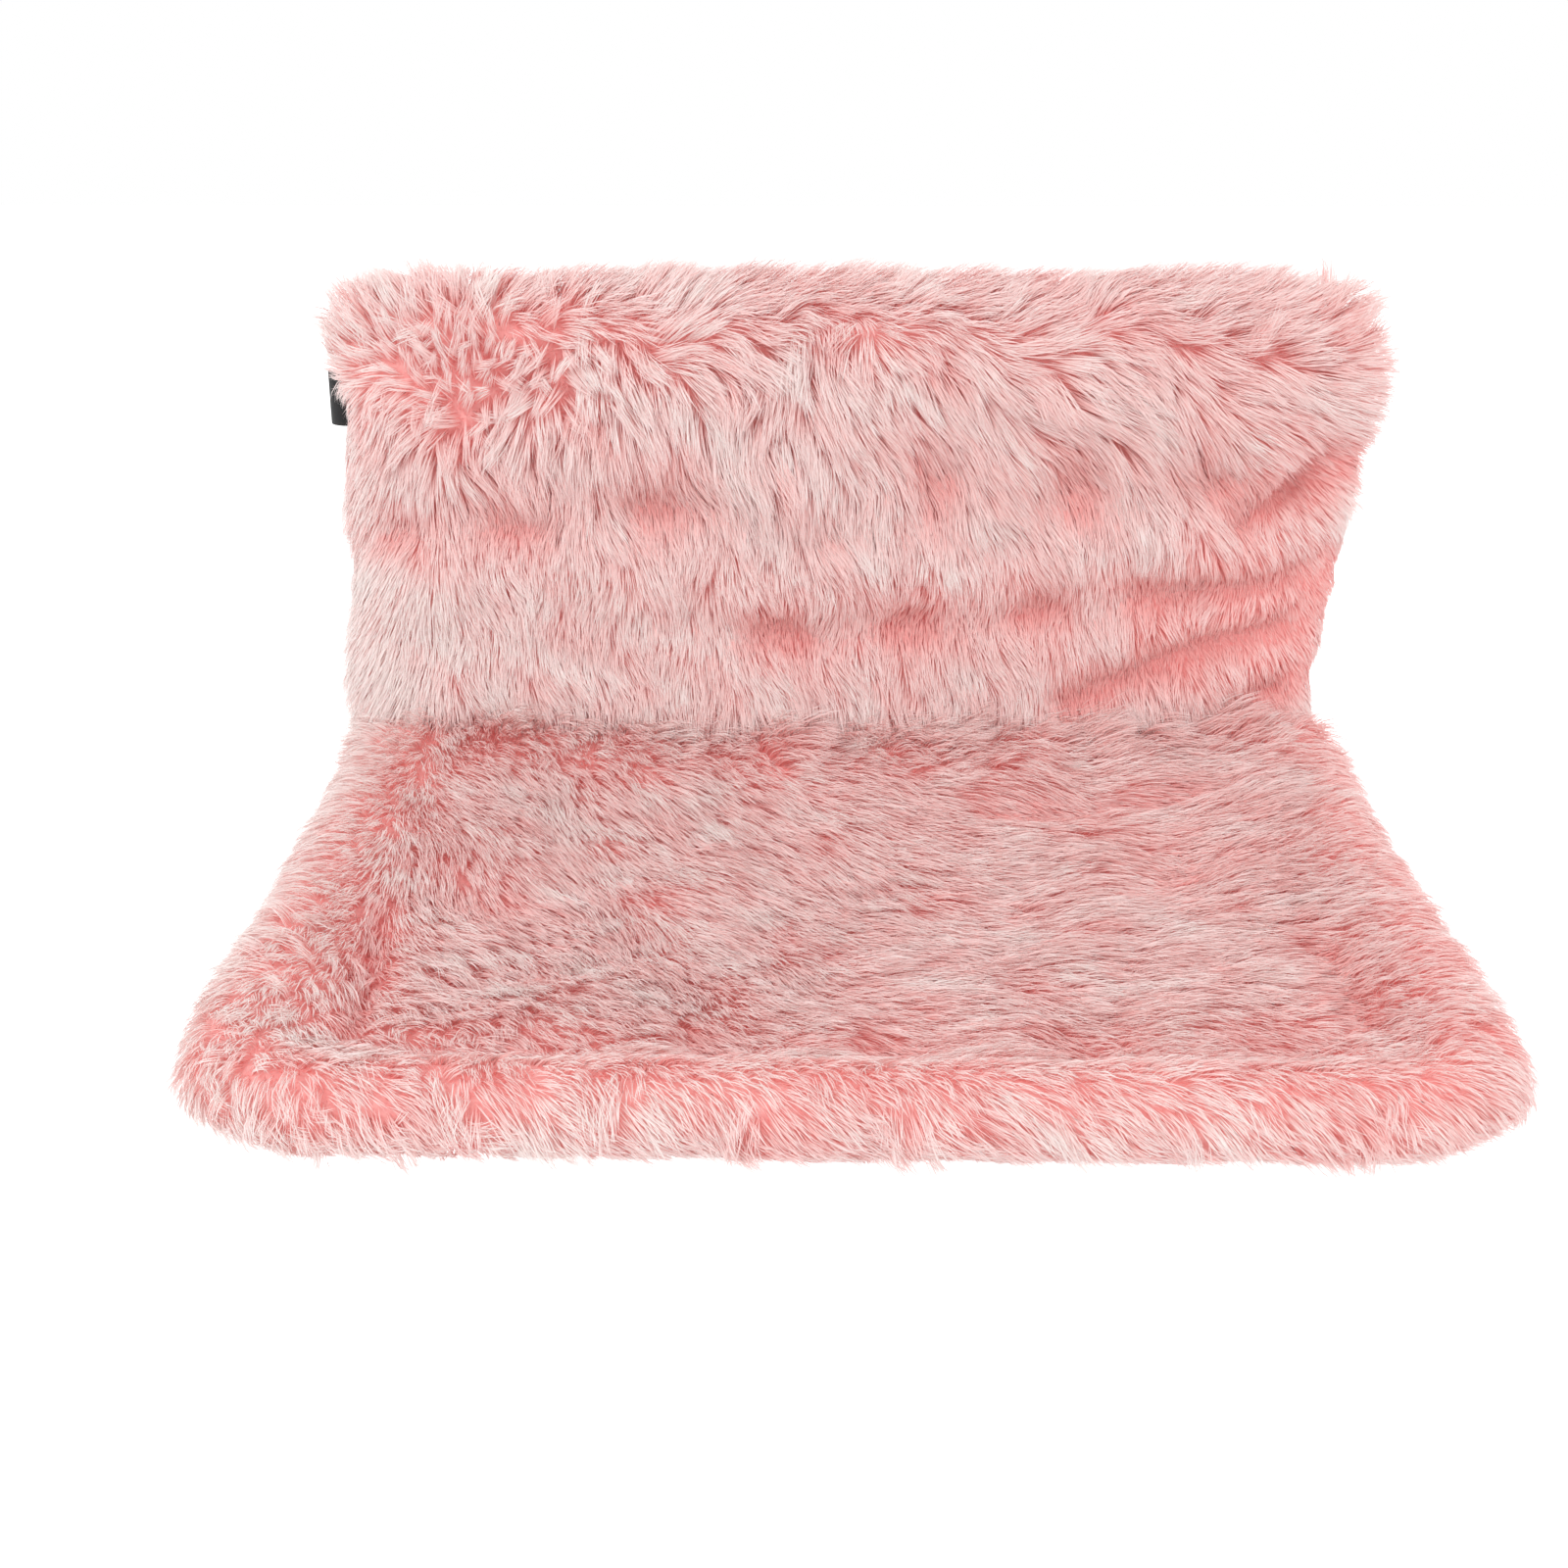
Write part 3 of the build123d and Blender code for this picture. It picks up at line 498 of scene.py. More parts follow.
def swell_sides(piece):
    """Makes the back wide at its upper corners and narrow at its lower right, as it hangs."""
    for vertex in piece.data.vertices:
        x, z = vertex.co.x, vertex.co.z
        outer = smooth(abs(x), side_x - 8 * mm, side_x + 6 * mm) * mm
        if x > 0:
            vertex.co.x += outer * np.interp(z / mm, right_heights, right_swell)
        else:
            vertex.co.x -= outer * np.interp(z / mm, left_heights, left_swell)


front_swell = 6 * mm


def swell_front(piece):
    """Makes the seat wider towards its front corners."""
    for vertex in piece.data.vertices:
        along = (vertex.co.y - plane_y) / forward.y
        outer = smooth(abs(vertex.co.x), side_x - 10 * mm, side_x + 6 * mm)
        far = smooth(along, 110 * mm, seat_depth - 20 * mm)
        vertex.co.x += math.copysign(front_swell * outer * far, vertex.co.x)


def push_before_rail(piece):
    """Presses the skin flat where it would stand in the rail, with room for its pile."""
    for vertex in piece.data.vertices:
        vertex.co.y = min(vertex.co.y, skin_face)


def cut_slots(piece):
    """Opens the two slots that the hooks' channels pass through."""
    half_x = (hook_high.x - hook_low.x) / 2 + slot_gap
    low_z, high_z = hook_low.z - slot_gap, hook_high.z + slot_gap
    for side in (-1, 1):
        mid = side * hook_x
        outline = [(-half_x, low_z), (half_x, low_z), (half_x, high_z), (-half_x, high_z)]
        near = [(mid + x, 2 * mm, z) for x, z in outline]
        far = [(mid + x, plane_y - 2 * mm, z) for x, z in outline]
        faces = [(0, 1, 2, 3), (7, 6, 5, 4), (0, 4, 5, 1), (1, 5, 6, 2), (2, 6, 7, 3), (3, 7, 4, 0)]
        cutter = closed_object("slot_cutter", (near + far, faces))
        cut = piece.modifiers.new("slot", "BOOLEAN")
        cut.object = cutter
        cut.operation = "DIFFERENCE"
        cut.solver = "EXACT"
        apply_modifiers(piece)
        bpy.data.objects.remove(cutter)


def roll_line(knee_shares, corner, bend):
    """Line from within the left knee bend, round the two corners of a tube, to within the right one."""
    right = [knee_point(side_x, share) for share in knee_shares]
    *left, left_end, left_corner = [Vector((-p.x, p.y, p.z)) for p in (*right, corner)]
    return left + rounded_line([left_end, left_corner, corner, right[-1]], bend) + right[-2::-1]


def back_skin():
    line = roll_line((0.6, 0.4, 0.2, 0), Vector((side_x, plane_y, bar_z)), top_bend)
    low_z = knee_z + back_foot

    def front(across, up):
        x, z = mix(-side_x, side_x, across), mix(low_z, bar_z, up)
        return Vector((x, plane_y - back_depth(x, z), z))

    def rear(across, up):
        return Vector((mix(-side_x, side_x, across), skin_back_y, mix(low_z, bar_z, up)))

    slab = slab_parts(front, rear, back_columns, back_rows)
    piece = remeshed("back_cover", [tube_parts(line, back_roll), slab], skin_voxel)
    swell_sides(piece)
    push_before_rail(piece)
    cut_slots(piece)
    return piece


seat_middle_sag = 32 * mm
seat_edge_sag = 3 * mm
seat_roll = 15 * mm
skin_under_pile = 8.5 * mm  # how deep the seat's skin lies under the tips of its pile
seat_under = 8.5 * mm  # depth of the skin's underside below the tubes' plane
seat_rear_top, seat_front_top = 30 * mm, 12 * mm  # height of the pile's tips over the tubes' plane
seat_rim_rise = 5 * mm
seat_first = 8 * mm  # where its slab starts
seat_columns, seat_rows = 110, 72
crossbar_cover = 9 * mm  # least height of the skin over the crossbar


def seat_sag(x, along):
    """Depth of the seat's hollow below its straight line."""
    share = np.clip(along / seat_depth, 0, 1)
    deepest = mix(seat_edge_sag, seat_middle_sag, 1 - (x / side_x) ** 2)
    return deepest * 4 * share * (1 - share)


def seat_height(x, along):
    """Height of the skin's top over the tubes' plane."""
    share = np.clip((along - knee_run) / (seat_depth - knee_run), 0, 1)
    line = mix(seat_rear_top, seat_front_top, share)
    wave = skin_wave * ripple(np.stack([x, along, 0 * x], -1), 80 * mm, 23)
    height = line - skin_under_pile - seat_sag(x, along) + wave - seat_hollow(x, along)
    over_bar = np.exp(-(((along - crossbar_along) / (22 * mm)) ** 2))
    height = np.maximum(height, mix(-40 * mm, crossbar_cover, over_bar))
    to_side = smooth(np.abs(x), side_x - 45 * mm, side_x - 6 * mm)
    to_front = smooth(along, seat_depth - 50 * mm, seat_depth - 8 * mm)
    return height + seat_rim_rise * np.maximum(to_side * smooth(along, 60 * mm, 110 * mm), to_front)


def seat_skin():
    line = roll_line((0.4, 0.6, 0.8, 1), seat_point(side_x, seat_depth, 0), front_bend)

    def top(across, out):
        x, along = mix(-side_x, side_x, across), mix(seat_first, seat_depth, out)
        return seat_point(x, along, seat_height(x, along))

    def under(across, out):
        x, along = mix(-side_x, side_x, across), mix(seat_first, seat_depth, out)
        return seat_point(x, along, -seat_under - seat_sag(x, along))

    slab = slab_parts(under, top, seat_columns, seat_rows)
    piece = remeshed("seat_cover", [tube_parts(line, seat_roll), slab], skin_voxel)
    swell_front(piece)
    push_before_rail(piece)
    return piece


# Fur


def read(items, name, width, kind=float):
    """One property of all the points, edges or faces of a mesh, a row for each."""
    values = np.empty(len(items) * width, kind)
    items.foreach_get(name, values)
    return values.reshape(-1, width)


def skin_arrays(piece):
    """The skin's points, normals, triangles and how hollow it is at each point."""
    mesh = piece.data
    mesh.calc_loop_triangles()
    points = read(mesh.vertices, "co", 3)
    normals = read(mesh.vertex_normals, "vector", 3)
    edges = read(mesh.edges, "vertices", 2, int)
    ends = np.concatenate([edges, edges[:, ::-1]])
    share = np.bincount(ends[:, 0], minlength=len(points))[:, None]
    flat = points
    for _ in range(30):
        total = [np.bincount(ends[:, 0], flat[ends[:, 1], axis], len(points)) for axis in range(3)]
        flat = mix(flat, np.stack(total, -1) / share, 0.6)
    hollow_depth = ((flat - points) * normals).sum(1)
    return points, normals, read(mesh.loop_triangles, "vertices", 3, int), hollow_depth


def scatter(skin, weight, count, seed):
    """Points spread over the skin, as dense as weight says, with their normals and hollows."""
    points, normals, triangles, hollow_depth = skin
    draw = np.random.default_rng(seed)
    corners = points[triangles]
    middles = corners.mean(1)
    facing = np.cross(corners[:, 1] - corners[:, 0], corners[:, 2] - corners[:, 0])
    areas = np.linalg.norm(facing, axis=1) / 2
    chances = areas * weight(middles, unit(facing))
    chosen = draw.choice(len(triangles), count, p=chances / chances.sum())
    first, second = draw.uniform(size=(2, count, 1))
    fold = first + second > 1
    first = np.where(fold, 1 - first, first)
    second = np.where(fold, 1 - second, second)
    shares = np.stack([1 - first - second, first, second], 1)
    place = (points[triangles[chosen]] * shares).sum(1)
    normal = unit((normals[triangles[chosen]] * shares).sum(1))
    depth = (hollow_depth[triangles[chosen]] * shares[:, :, 0]).sum(1)
    return place, normal, depth


def nearest(places, centres):
    """For each place, the number of the centre nearest to it."""
    tree = KDTree(len(centres))
    for number, centre in enumerate(centres):
        tree.insert(centre, number)
    tree.balance()
    return np.array([tree.find(place)[1] for place in places])


def along_skin(way, normal):
    return unit(way - (way * normal).sum(1, keepdims=True) * normal)


# How pile lies: its way along the skin, its length, its lift off the skin, how far it is drawn to the
# tip of its lock, its tone from 0 for deep to 1 for cream, its droop, and how far locks turn their own way
Comb = namedtuple("Comb", "way long lift gather tone droop wild")

strand_steps = np.array([0.0, 0.36, 0.72, 1.0])
strand_taper = np.array([0.8, 1.0, 0.72])  # width at the first three steps, which have two points each
strand_points = 7
strand_corners = np.array([0, 1, 3, 2, 2, 3, 5, 4, 4, 5, 6])  # points of its three faces, one after another
strand_faces = np.array([0, 4, 8])  # where each face starts among them
strand_sides = np.array([-1, 1, -1, 1, -1, 1, 0])
strand_width = 0.46 * mm
lock_area = 26e-6  # square metres of skin that one lock covers
strands_for_lock = 17
piece_strands = 36000  # in one piece of fur
stray_share = 0.05  # of the strands stand out of their lock
lock_tone_spread = 0.09
strand_tone_spread = 0.06


def bent(root, normal, way, comb):
    """Middle and tip of strands that stand up from the skin and then bend over along their way."""
    long, rise = comb.long[:, None], comb.lift[:, None]
    over = np.sqrt(1 - rise**2)
    middle = root + normal * (long * (rise * 0.75 + 0.12)) + way * (long * over * 0.30)
    tip = root + normal * (long * rise) + way * (long * over)
    return middle, tip


def strand_curves(root, normal, comb, draw, locks):
    """Control points of each strand, bent over along its comb and drawn to the tip of its lock."""
    place, lock_root, lock_normal, lock = locks
    stray = along_skin(draw.normal(size=root.shape), normal)
    middle, tip = bent(root, normal, along_skin(comb.way + 0.22 * stray, normal), comb)
    lock_bow = along_skin(draw.normal(size=lock_root.shape), lock_normal)
    lock_middle, lock_tip = bent(lock_root, lock_normal, lock.way, lock)
    lock_middle = lock_middle + lock_bow * lock.long[:, None] * 0.10
    pull = comb.gather[:, None]
    short = (comb.long / lock.long[place])[:, None]
    tip = mix(tip, lock_root[place] + (lock_tip - lock_root)[place] * short, pull)
    middle = mix(middle, lock_middle[place], pull * 0.45)
    fall = (comb.droop * comb.long)[:, None] * up_way
    return middle - 0.3 * fall, tip - fall


def strand_mesh(name, root, middle, tip, normal, tone, wide, roll, draw):
    """Mesh of ribbons that taper from root to tip, with a map of their tone and height."""
    t = strand_steps[None, :, None]
    line = (1 - t) ** 2 * root[:, None] + 2 * t * (1 - t) * middle[:, None] + t**2 * tip[:, None]
    run = 2 * (1 - t) * (middle - root)[:, None] + 2 * t * (tip - middle)[:, None]
    outward = unit(normal + roll * draw.normal(size=root.shape))[:, None]
    reach = unit(np.cross(outward, run))[:, :3] * (wide[:, None, None] * strand_taper[:, None] / 2)
    pairs = np.stack([line[:, :3] + reach, line[:, :3] - reach], 2)
    points = np.concatenate([pairs.reshape(len(root), -1, 3), line[:, 3:]], 1)
    layer = draw.uniform(0, rail_face - skin_face, (len(root), 1))
    points[:, :, 1] = np.minimum(points[:, :, 1], rail_face - layer)
    across = np.clip(tone, 0.01, 0.99)[:, None] + 0.002 * strand_sides[strand_corners]
    height = np.repeat(strand_steps, 2)[strand_corners] * 0.98 + 0.01
    uv = np.stack(np.broadcast_arrays(across, height), -1)
    number = np.arange(len(root), dtype=np.int32)[:, None]
    corners = (number * strand_points + strand_corners).astype(np.int32)
    starts = (number * len(strand_corners) + strand_faces).astype(np.int32)
    mesh = bpy.data.meshes.new(name)
    mesh.vertices.add(len(root) * strand_points)
    mesh.vertices.foreach_set("co", points.reshape(-1))
    mesh.loops.add(corners.size)
    mesh.loops.foreach_set("vertex_index", corners.reshape(-1))
    mesh.polygons.add(starts.size)
    mesh.polygons.foreach_set("loop_start", starts.reshape(-1))
    mesh.update(calc_edges=True)
    mesh.uv_layers.new(name="OFBake").data.foreach_set("uv", uv.reshape(-1))
    mesh.shade_smooth()
    return add_object(name, mesh)


def grow(name, skin_piece, weight, combing, area, roll, seed):
    """Fur on a skin, in pieces of a size that keeps all their faces."""
    skin = skin_arrays(skin_piece)
    locks = int(area / lock_area)
    count = locks * strands_for_lock
    lock_root, lock_normal, lock_depth = scatter(skin, weight, locks, seed)
    root, normal, depth = scatter(skin, weight, count, seed + 1)
    place = nearest(root, lock_root)
    draw = np.random.default_rng(seed + 2)
    lock = combing(lock_root, lock_normal, lock_depth)
    own = lock.wild[:, None] * draw.normal(size=(locks, 3))
    lock = lock._replace(way=along_skin(unit(lock.way) + own, lock_normal))
    comb = combing(root, normal, depth)
    long = comb.long * draw.uniform(0.72, 1.08, count)
    stray = draw.uniform(size=count) < stray_share
    gather = np.where(stray, 0.1, comb.gather) * draw.uniform(0.75, 1.1, count)
    share = np.clip(0.7 + 0.3 * comb.wild, 0, 1)[:, None]
    comb = comb._replace(
        way=along_skin(mix(unit(comb.way), lock.way[place], share), normal),
        long=np.where(stray, long * 1.12, long),
        lift=np.clip(np.where(stray, comb.lift + 0.15, comb.lift), 0.05, 0.9),
        gather=np.clip(gather, 0, 0.95),
    )
    tone = comb.tone + draw.normal(0, lock_tone_spread, locks)[place]
    tone = tone + draw.normal(0, strand_tone_spread, count)
    middle, tip = strand_curves(root, normal, comb, draw, (place, lock_root, lock_normal, lock))
    wide = strand_width * draw.uniform(0.7, 1.2, count) * np.where(stray, 0.6, 1)
    strands = root, middle, tip, normal, tone, wide
    order = np.argsort(place, kind="stable")
    for number, first in enumerate(range(0, count, piece_strands)):
        some = order[first:first + piece_strands]
        piece = strand_mesh(f"{name}_{number + 1}", *(values[some] for values in strands), roll, draw)
        piece.data.materials.append(pile)
        piece.parent = skin_piece


corner_place = np.array([0, plane_y, knee_z])
right_way = np.array([1.0, 0.0, 0.0])
up_way = np.array([0.0, 0.0, 1.0])
front_way = np.array(forward)
above_way = np.array(upward)


def turned(angle):
    """Ways in the upright plane, from their angle over the right-hand level."""
    return np.cos(angle)[:, None] * right_way + np.sin(angle)[:, None] * up_way


def dipped(long, lift, fold, fold_ahead):
    """Length and lift of pile that dips into the folds it stands in or leans over."""
    dip = np.maximum(fold, 0.8 * fold_ahead)
    return long * (1 - 0.42 * dip), lift * (1 - 0.40 * dip)


def stirred(place, size, seed):
    """Random ways in the upright plane that change over about the given size."""
    return ripple(place, size, seed)[:, None] * right_way + ripple(place, size, seed + 1)[:, None] * up_way


# Lengths of the pile, in millimetres
back_pile = 25
back_pile_low = 17
back_pile_rim = 20
seat_pile = 21
seat_pile_rim = 14
pile_under = 9
pile_behind = 11


def back_comb(place, normal, depth):
    """Comb of the back's pile, over places in millimetres."""
    x, _, z = place.T / mm
    edge_x = side_x / mm
    wave = lambda size, seed: ripple(place, size * mm, seed)
    pressed = lambda spots: back_hollow(spots[:, 0], spots[:, 2]) / (9 * mm)
    left = smooth(-x, 120, 205)
    low = smooth(-z, 35, 90)
    left_edge = smooth(-x, edge_x - 50, edge_x + 4)
    right_edge = smooth(x, edge_x - 36, edge_x + 6)
    edge = np.maximum(left_edge, right_edge)
    rim = np.maximum(edge, smooth(z, -5, 12))
    behind = smooth(normal[:, 1], 0.1, 0.7)
    on_top = smooth(z, -2, 14) * smooth(normal[:, 2], 0.2, 0.9)
    corner = spot(np.abs(x), z, edge_x + 4, 10, 24, 20)
    whorl = np.clip(1.3 * spot(x, z, -165, -10, 50, 24), 0, 1)

    # Its way, as angles over the right-hand level: it falls below the swirl's line and rises above it
    swirl = 5 - 18 * left + 11 * wave(85, 5)
    above = smooth(z, swirl - 17, swirl + 13)
    tousled = np.exp(-(((z - swirl) / 20) ** 2))
    lean = -76 + 36 * smooth(x, -60, 120) - 16 * left
    lean = mix(lean, -82, low) + 15 * wave(50, 6) + 9 * wave(20, 12)
    lean = mix(mix(lean, -122, left_edge), mix(-12, -50, low), right_edge)
    rise = mix(12, 44, smooth(z, swirl, swirl + 30)) + 16 * wave(45, 7) + 10 * wave(20, 13)
    rise = mix(mix(rise, 118, smooth(-x, 120, 215)), 22, right_edge)
    stir = 0.5 * tousled[:, None] * stirred(place, 28 * mm, 31)
    way = mix(turned(np.radians(lean)), turned(np.radians(rise)), above[:, None]) + stir
    outward = np.sign(x)[:, None] * right_way + 1.3 * up_way
    way = mix(way, outward, 0.8 * corner[:, None])
    wild = 0.03 + 0.18 * tousled + 0.62 * whorl

    # Its length and lift: short by the label, the slots and the lower right edge, full at the corners
    by_label = smooth(-x, edge_x - 6, edge_x + 4) * spot(z, 0, label_z / mm, 0, 19, 1)
    by_slot = behind * spot(np.abs(x), z, hook_x / mm, 5, 26, 18)
    long = mix(mix(back_pile, back_pile_low, smooth(-z, 65, 105)), back_pile_rim, rim)
    long = mix(long, pile_behind, behind) * (1 + 0.12 * wave(35, 8))
    long = long * (1 - 0.65 * by_label) * (1 - 0.40 * whorl) * (1 - 0.75 * by_slot)
    long = long * (1 - 0.40 * right_edge * low) * (1 + 0.35 * corner) * (1 + 0.20 * on_top)
    lift = mix(0.46, 0.38, np.maximum(low, edge)) + 0.08 * wave(30, 9) + 0.05 * tousled * (1 - edge)
    lift = lift + 0.14 * whorl - 0.25 * behind + 0.12 * on_top + 0.3 * corner
    fold = pressed(place)
    fold_ahead = pressed(place + way * (0.6 * mm * long)[:, None])
    long, lift = dipped(long, lift, fold, fold_ahead)
    gather = mix(0.56, 0.36, smooth(-z, 60, 105)) - 0.15 * rim - 0.1 * tousled - 0.18 * on_top
    gather = gather + 0.2 * whorl

    # Its tone: rosy painted shade in the folds, in the hollows and on the upper right, paler painted
    # highlight at the edges, and cream painted highlight at the lower left
    hollow_shade = smooth(depth / mm, 0.3, 3)
    fold_shade = np.clip(1.15 * np.maximum(fold, fold_ahead), 0, 1)
    upper_right_shade = smooth(x, -20, 140) * (1 - low)
    # painted highlight: the lower left, where the light falls, turns cream
    cream = smooth(-x, 130, 232) * smooth(-z, 45, 95)
    tone = 0.78 - 0.80 * fold_shade - 0.20 * hollow_shade - 0.06 * tousled - 0.10 * upper_right_shade
    tone = tone + 0.12 * wave(28, 10) - 0.02 * whorl + 0.06 * edge + 0.16 * cream
    return Comb(way, long * mm, np.clip(lift, 0.08, 0.85), gather, tone, 0.12 * edge, wild)


def seat_comb(place, normal, depth):
    """Comb of the seat's pile, over places in millimetres."""
    flat = place - corner_place
    x, along = flat[:, 0] / mm, flat @ front_way / mm
    edge_x, edge_along = side_x / mm, seat_depth / mm
    wave = lambda size, seed: ripple(place, size * mm, seed)
    pressed = lambda spots: seat_hollow(spots[:, 0], spots @ front_way) / (7 * mm)
    side = smooth(np.abs(x), edge_x - 46, edge_x + 4)
    front = smooth(along, edge_along - 100, edge_along - 12)
    rim = np.maximum(side, front)
    beneath = smooth(-normal @ above_way, 0.2, 0.8)
    behind = smooth(normal[:, 1], 0.2, 0.8)
    at_crease = 1 - smooth(along, 25, 60)

    # Its way, turned out over the sides and the front
    angle = np.radians(-56 + 44 * smooth(x, -150, 200) + 13 * wave(60, 15) + 6 * wave(24, 16))
    sway = 0.95 + 0.45 * wave(45, 17) + 0.3 * wave(20, 24)
    way = np.cos(angle)[:, None] * right_way - np.sin(angle)[:, None] * front_way
    sideways = np.sign(x)[:, None] * right_way + 0.5 * front_way - 0.2 * up_way
    outward = front_way - 0.45 * up_way + sway[:, None] * right_way
    way = mix(way, sideways, 0.85 * side[:, None])
    way = mix(way, outward, (front * (0.9 - 0.45 * side))[:, None])
    locks_left = smooth(-x, 60, 170) * smooth(along, 150, 230)
    wild = 0.04 + 0.25 * locks_left + 0.16 * rim + 0.2 * at_crease

    # Its length and lift: short at the rim, ragged at the crease
    long = mix(seat_pile, seat_pile_rim, rim) * (1 + 0.12 * wave(35, 18))
    long = long * (1 + 0.35 * at_crease * wave(30, 26))
    long = mix(mix(long, pile_under, beneath), pile_behind, behind)
    lift = mix(0.36, 0.46, rim) + 0.06 * wave(30, 19) - 0.15 * beneath - 0.2 * behind
    lift = lift + at_crease * (0.25 + 0.12 * wave(22, 25)) * (1 - behind)
    fold = pressed(flat)
    fold_ahead = pressed(flat + way * (0.6 * mm * long)[:, None])
    long, lift = dipped(long, lift, fold, fold_ahead)
    gather = mix(0.44, 0.26, rim) + 0.10 * wave(60, 20)

    # Its tone: darker painted shade in the folds, in the hollows and on the right, and paler painted
    # highlight at the rim and on the left side
    hollow_shade = smooth(depth / mm, 0.3, 3)
    side_light_shade = smooth(-x, edge_x - 40, edge_x + 8) - smooth(x, edge_x - 40, edge_x + 8)
    tone = 0.76 - 0.6 * np.maximum(fold, fold_ahead) - 0.16 * hollow_shade + 0.12 * wave(30, 21)
    tone = tone - 0.08 * smooth(x, -120, 0) + 0.10 * rim + 0.14 * side_light_shade
    droop = 0.05 * rim * (1 - beneath)
    return Comb(way, long * mm, np.clip(lift, 0.08, 0.85), gather, tone, droop, wild)


lined_inset = 21 * mm  # from the tubes' middle lines to where the pile gives way to the linings
back_foot_z = -170 * mm
slot_ground = 18 * mm  # half width of the bare ground round each slot
slot_wall = 2 * mm
thick_top_z, thick_top = 14 * mm, 1.6  # height from which the pile is denser, and how dense


def back_weight(place, facing):
    """Where the back has pile: all but its lined rear, its foot and its slots, and most on its top."""
    x, y, z = place.T
    from_slot = np.abs(np.abs(x) - hook_x)
    rearward = facing[:, 1]
    inside = (np.abs(x) < side_x - lined_inset) & (z < bar_z - lined_inset)
    foot = inside & (z < back_foot_z) & (rearward > -0.3)
    round_slot = (from_slot < slot_ground) & (z > -4 * mm) & (z < 15 * mm)
    in_slot = (from_slot < 15 * mm) & (z > hook_low.z - slot_wall) & (z < hook_high.z + slot_wall)
    in_slot = in_slot & (y > plane_y - 3 * mm)
    bare = foot | in_slot | (inside | round_slot) & (rearward > 0.3)
    return np.where(bare, 0.0, np.where(z > thick_top_z, thick_top, 1.0))


def seat_weight(place, facing):
    """Where the seat has pile: all but its lined underside and what lies in the crease."""
    along = (place - corner_place) @ front_way
    inside = (np.abs(place[:, 0]) < side_x - lined_inset) & (along < seat_depth - lined_inset)
    in_crease = inside & (along < 20 * mm) & (facing @ front_way < -0.3)
    lined = inside & (facing @ above_way < -0.2)
    return np.where(lined | in_crease, 0.0, 1.0)


pile = fur_finish()
backing = skin_finish()
strand_share = 1.0

back_cover = back_skin()
seat_cover = seat_skin()
# Each skin with its pile: area is in square metres, roll is how far strands turn about their length
for cover, node, weight, combing, area, roll, seed in (
    (back_cover, "back_plush", back_weight, back_comb, 0.165, 0.3, 100),
    (seat_cover, "seat_plush", seat_weight, seat_comb, 0.205, 0.7, 200),
):
    cover.data.materials.append(backing)
    grow(node.replace("plush", "pile"), cover, weight, combing, area * strand_share, roll, seed)
    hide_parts(node)
    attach(cover, "root")

# Finishes of the trim and the steel


def shade(colour, share):
    return tuple(share * part for part in colour)


def moulded(name, colour, roughness, grain, depth):
    """Plastic, rubber or powder coat: fine grain, and a tone and gloss that drift."""
    finish = Finish(name, roughness)
    fine = finish.noise(grain, 2.0)
    drift = finish.noise(25 * grain)
    finish.colour(finish.ramp(drift, (0.3, shade(colour, 0.75)), (0.7, shade(colour, 1.35))))
    finish.rough(fine, roughness - 0.1, roughness + 0.1)
    finish.bump(fine, depth)
    return finish.material


def plated(name, colour, roughness, stretch):
    """Bare or plated metal, with the fine lines of its tool and duller patches."""
    finish = Finish(name, roughness, 1.0)
    lines = finish.noise(0.4 * mm, 3.0, 0.6, finish.stretched(*stretch))
    finish.colour(finish.ramp(finish.noise(6 * mm), (0.3, shade(colour, 0.8)), (0.7, colour)))
    finish.rough(lines, roughness - 0.08, roughness + 0.14)
    finish.bump(lines, 0.02 * mm, 0.3)
    return finish.material


def woven(name, colour, pitch):
    """Plain weave: threads that pass over and under each other, some thicker than others."""
    finish = Finish(name, 0.75, Sheen_Weight=0.1)
    x, y, z = finish.parts(finish.place)
    waves = [
        finish.maths("SINE", finish.maths("MULTIPLY", value, 2 * math.pi / pitch))
        for value in (x, finish.maths("ADD", y, z))
    ]
    thread = finish.maths("MULTIPLY", *waves)
    slubs = finish.noise(4 * pitch, 2.0, 0.5, finish.stretched(0.12, 1, 1))
    worn = finish.ramp(slubs, (0.3, shade(colour, 0.86)), (0.7, colour))
    finish.colour(finish.blend(finish.maths("MULTIPLY_ADD", thread, 0.5, 0.5), worn, shade(colour, 0.7)))
    finish.bump(thread, 0.15 * pitch)
    return finish.material


def fibres(name, colour):
    """Loose fibres of wadding."""
    finish = Finish(name, 0.95)
    strands = finish.noise(3 * mm, 5.0, 0.7, finish.stretched(0.3, 1, 1))
    finish.colour(finish.ramp(strands, (0.3, shade(colour, 0.8)), (0.7, colour)))
    finish.bump(strands, 0.8 * mm)
    return finish.material


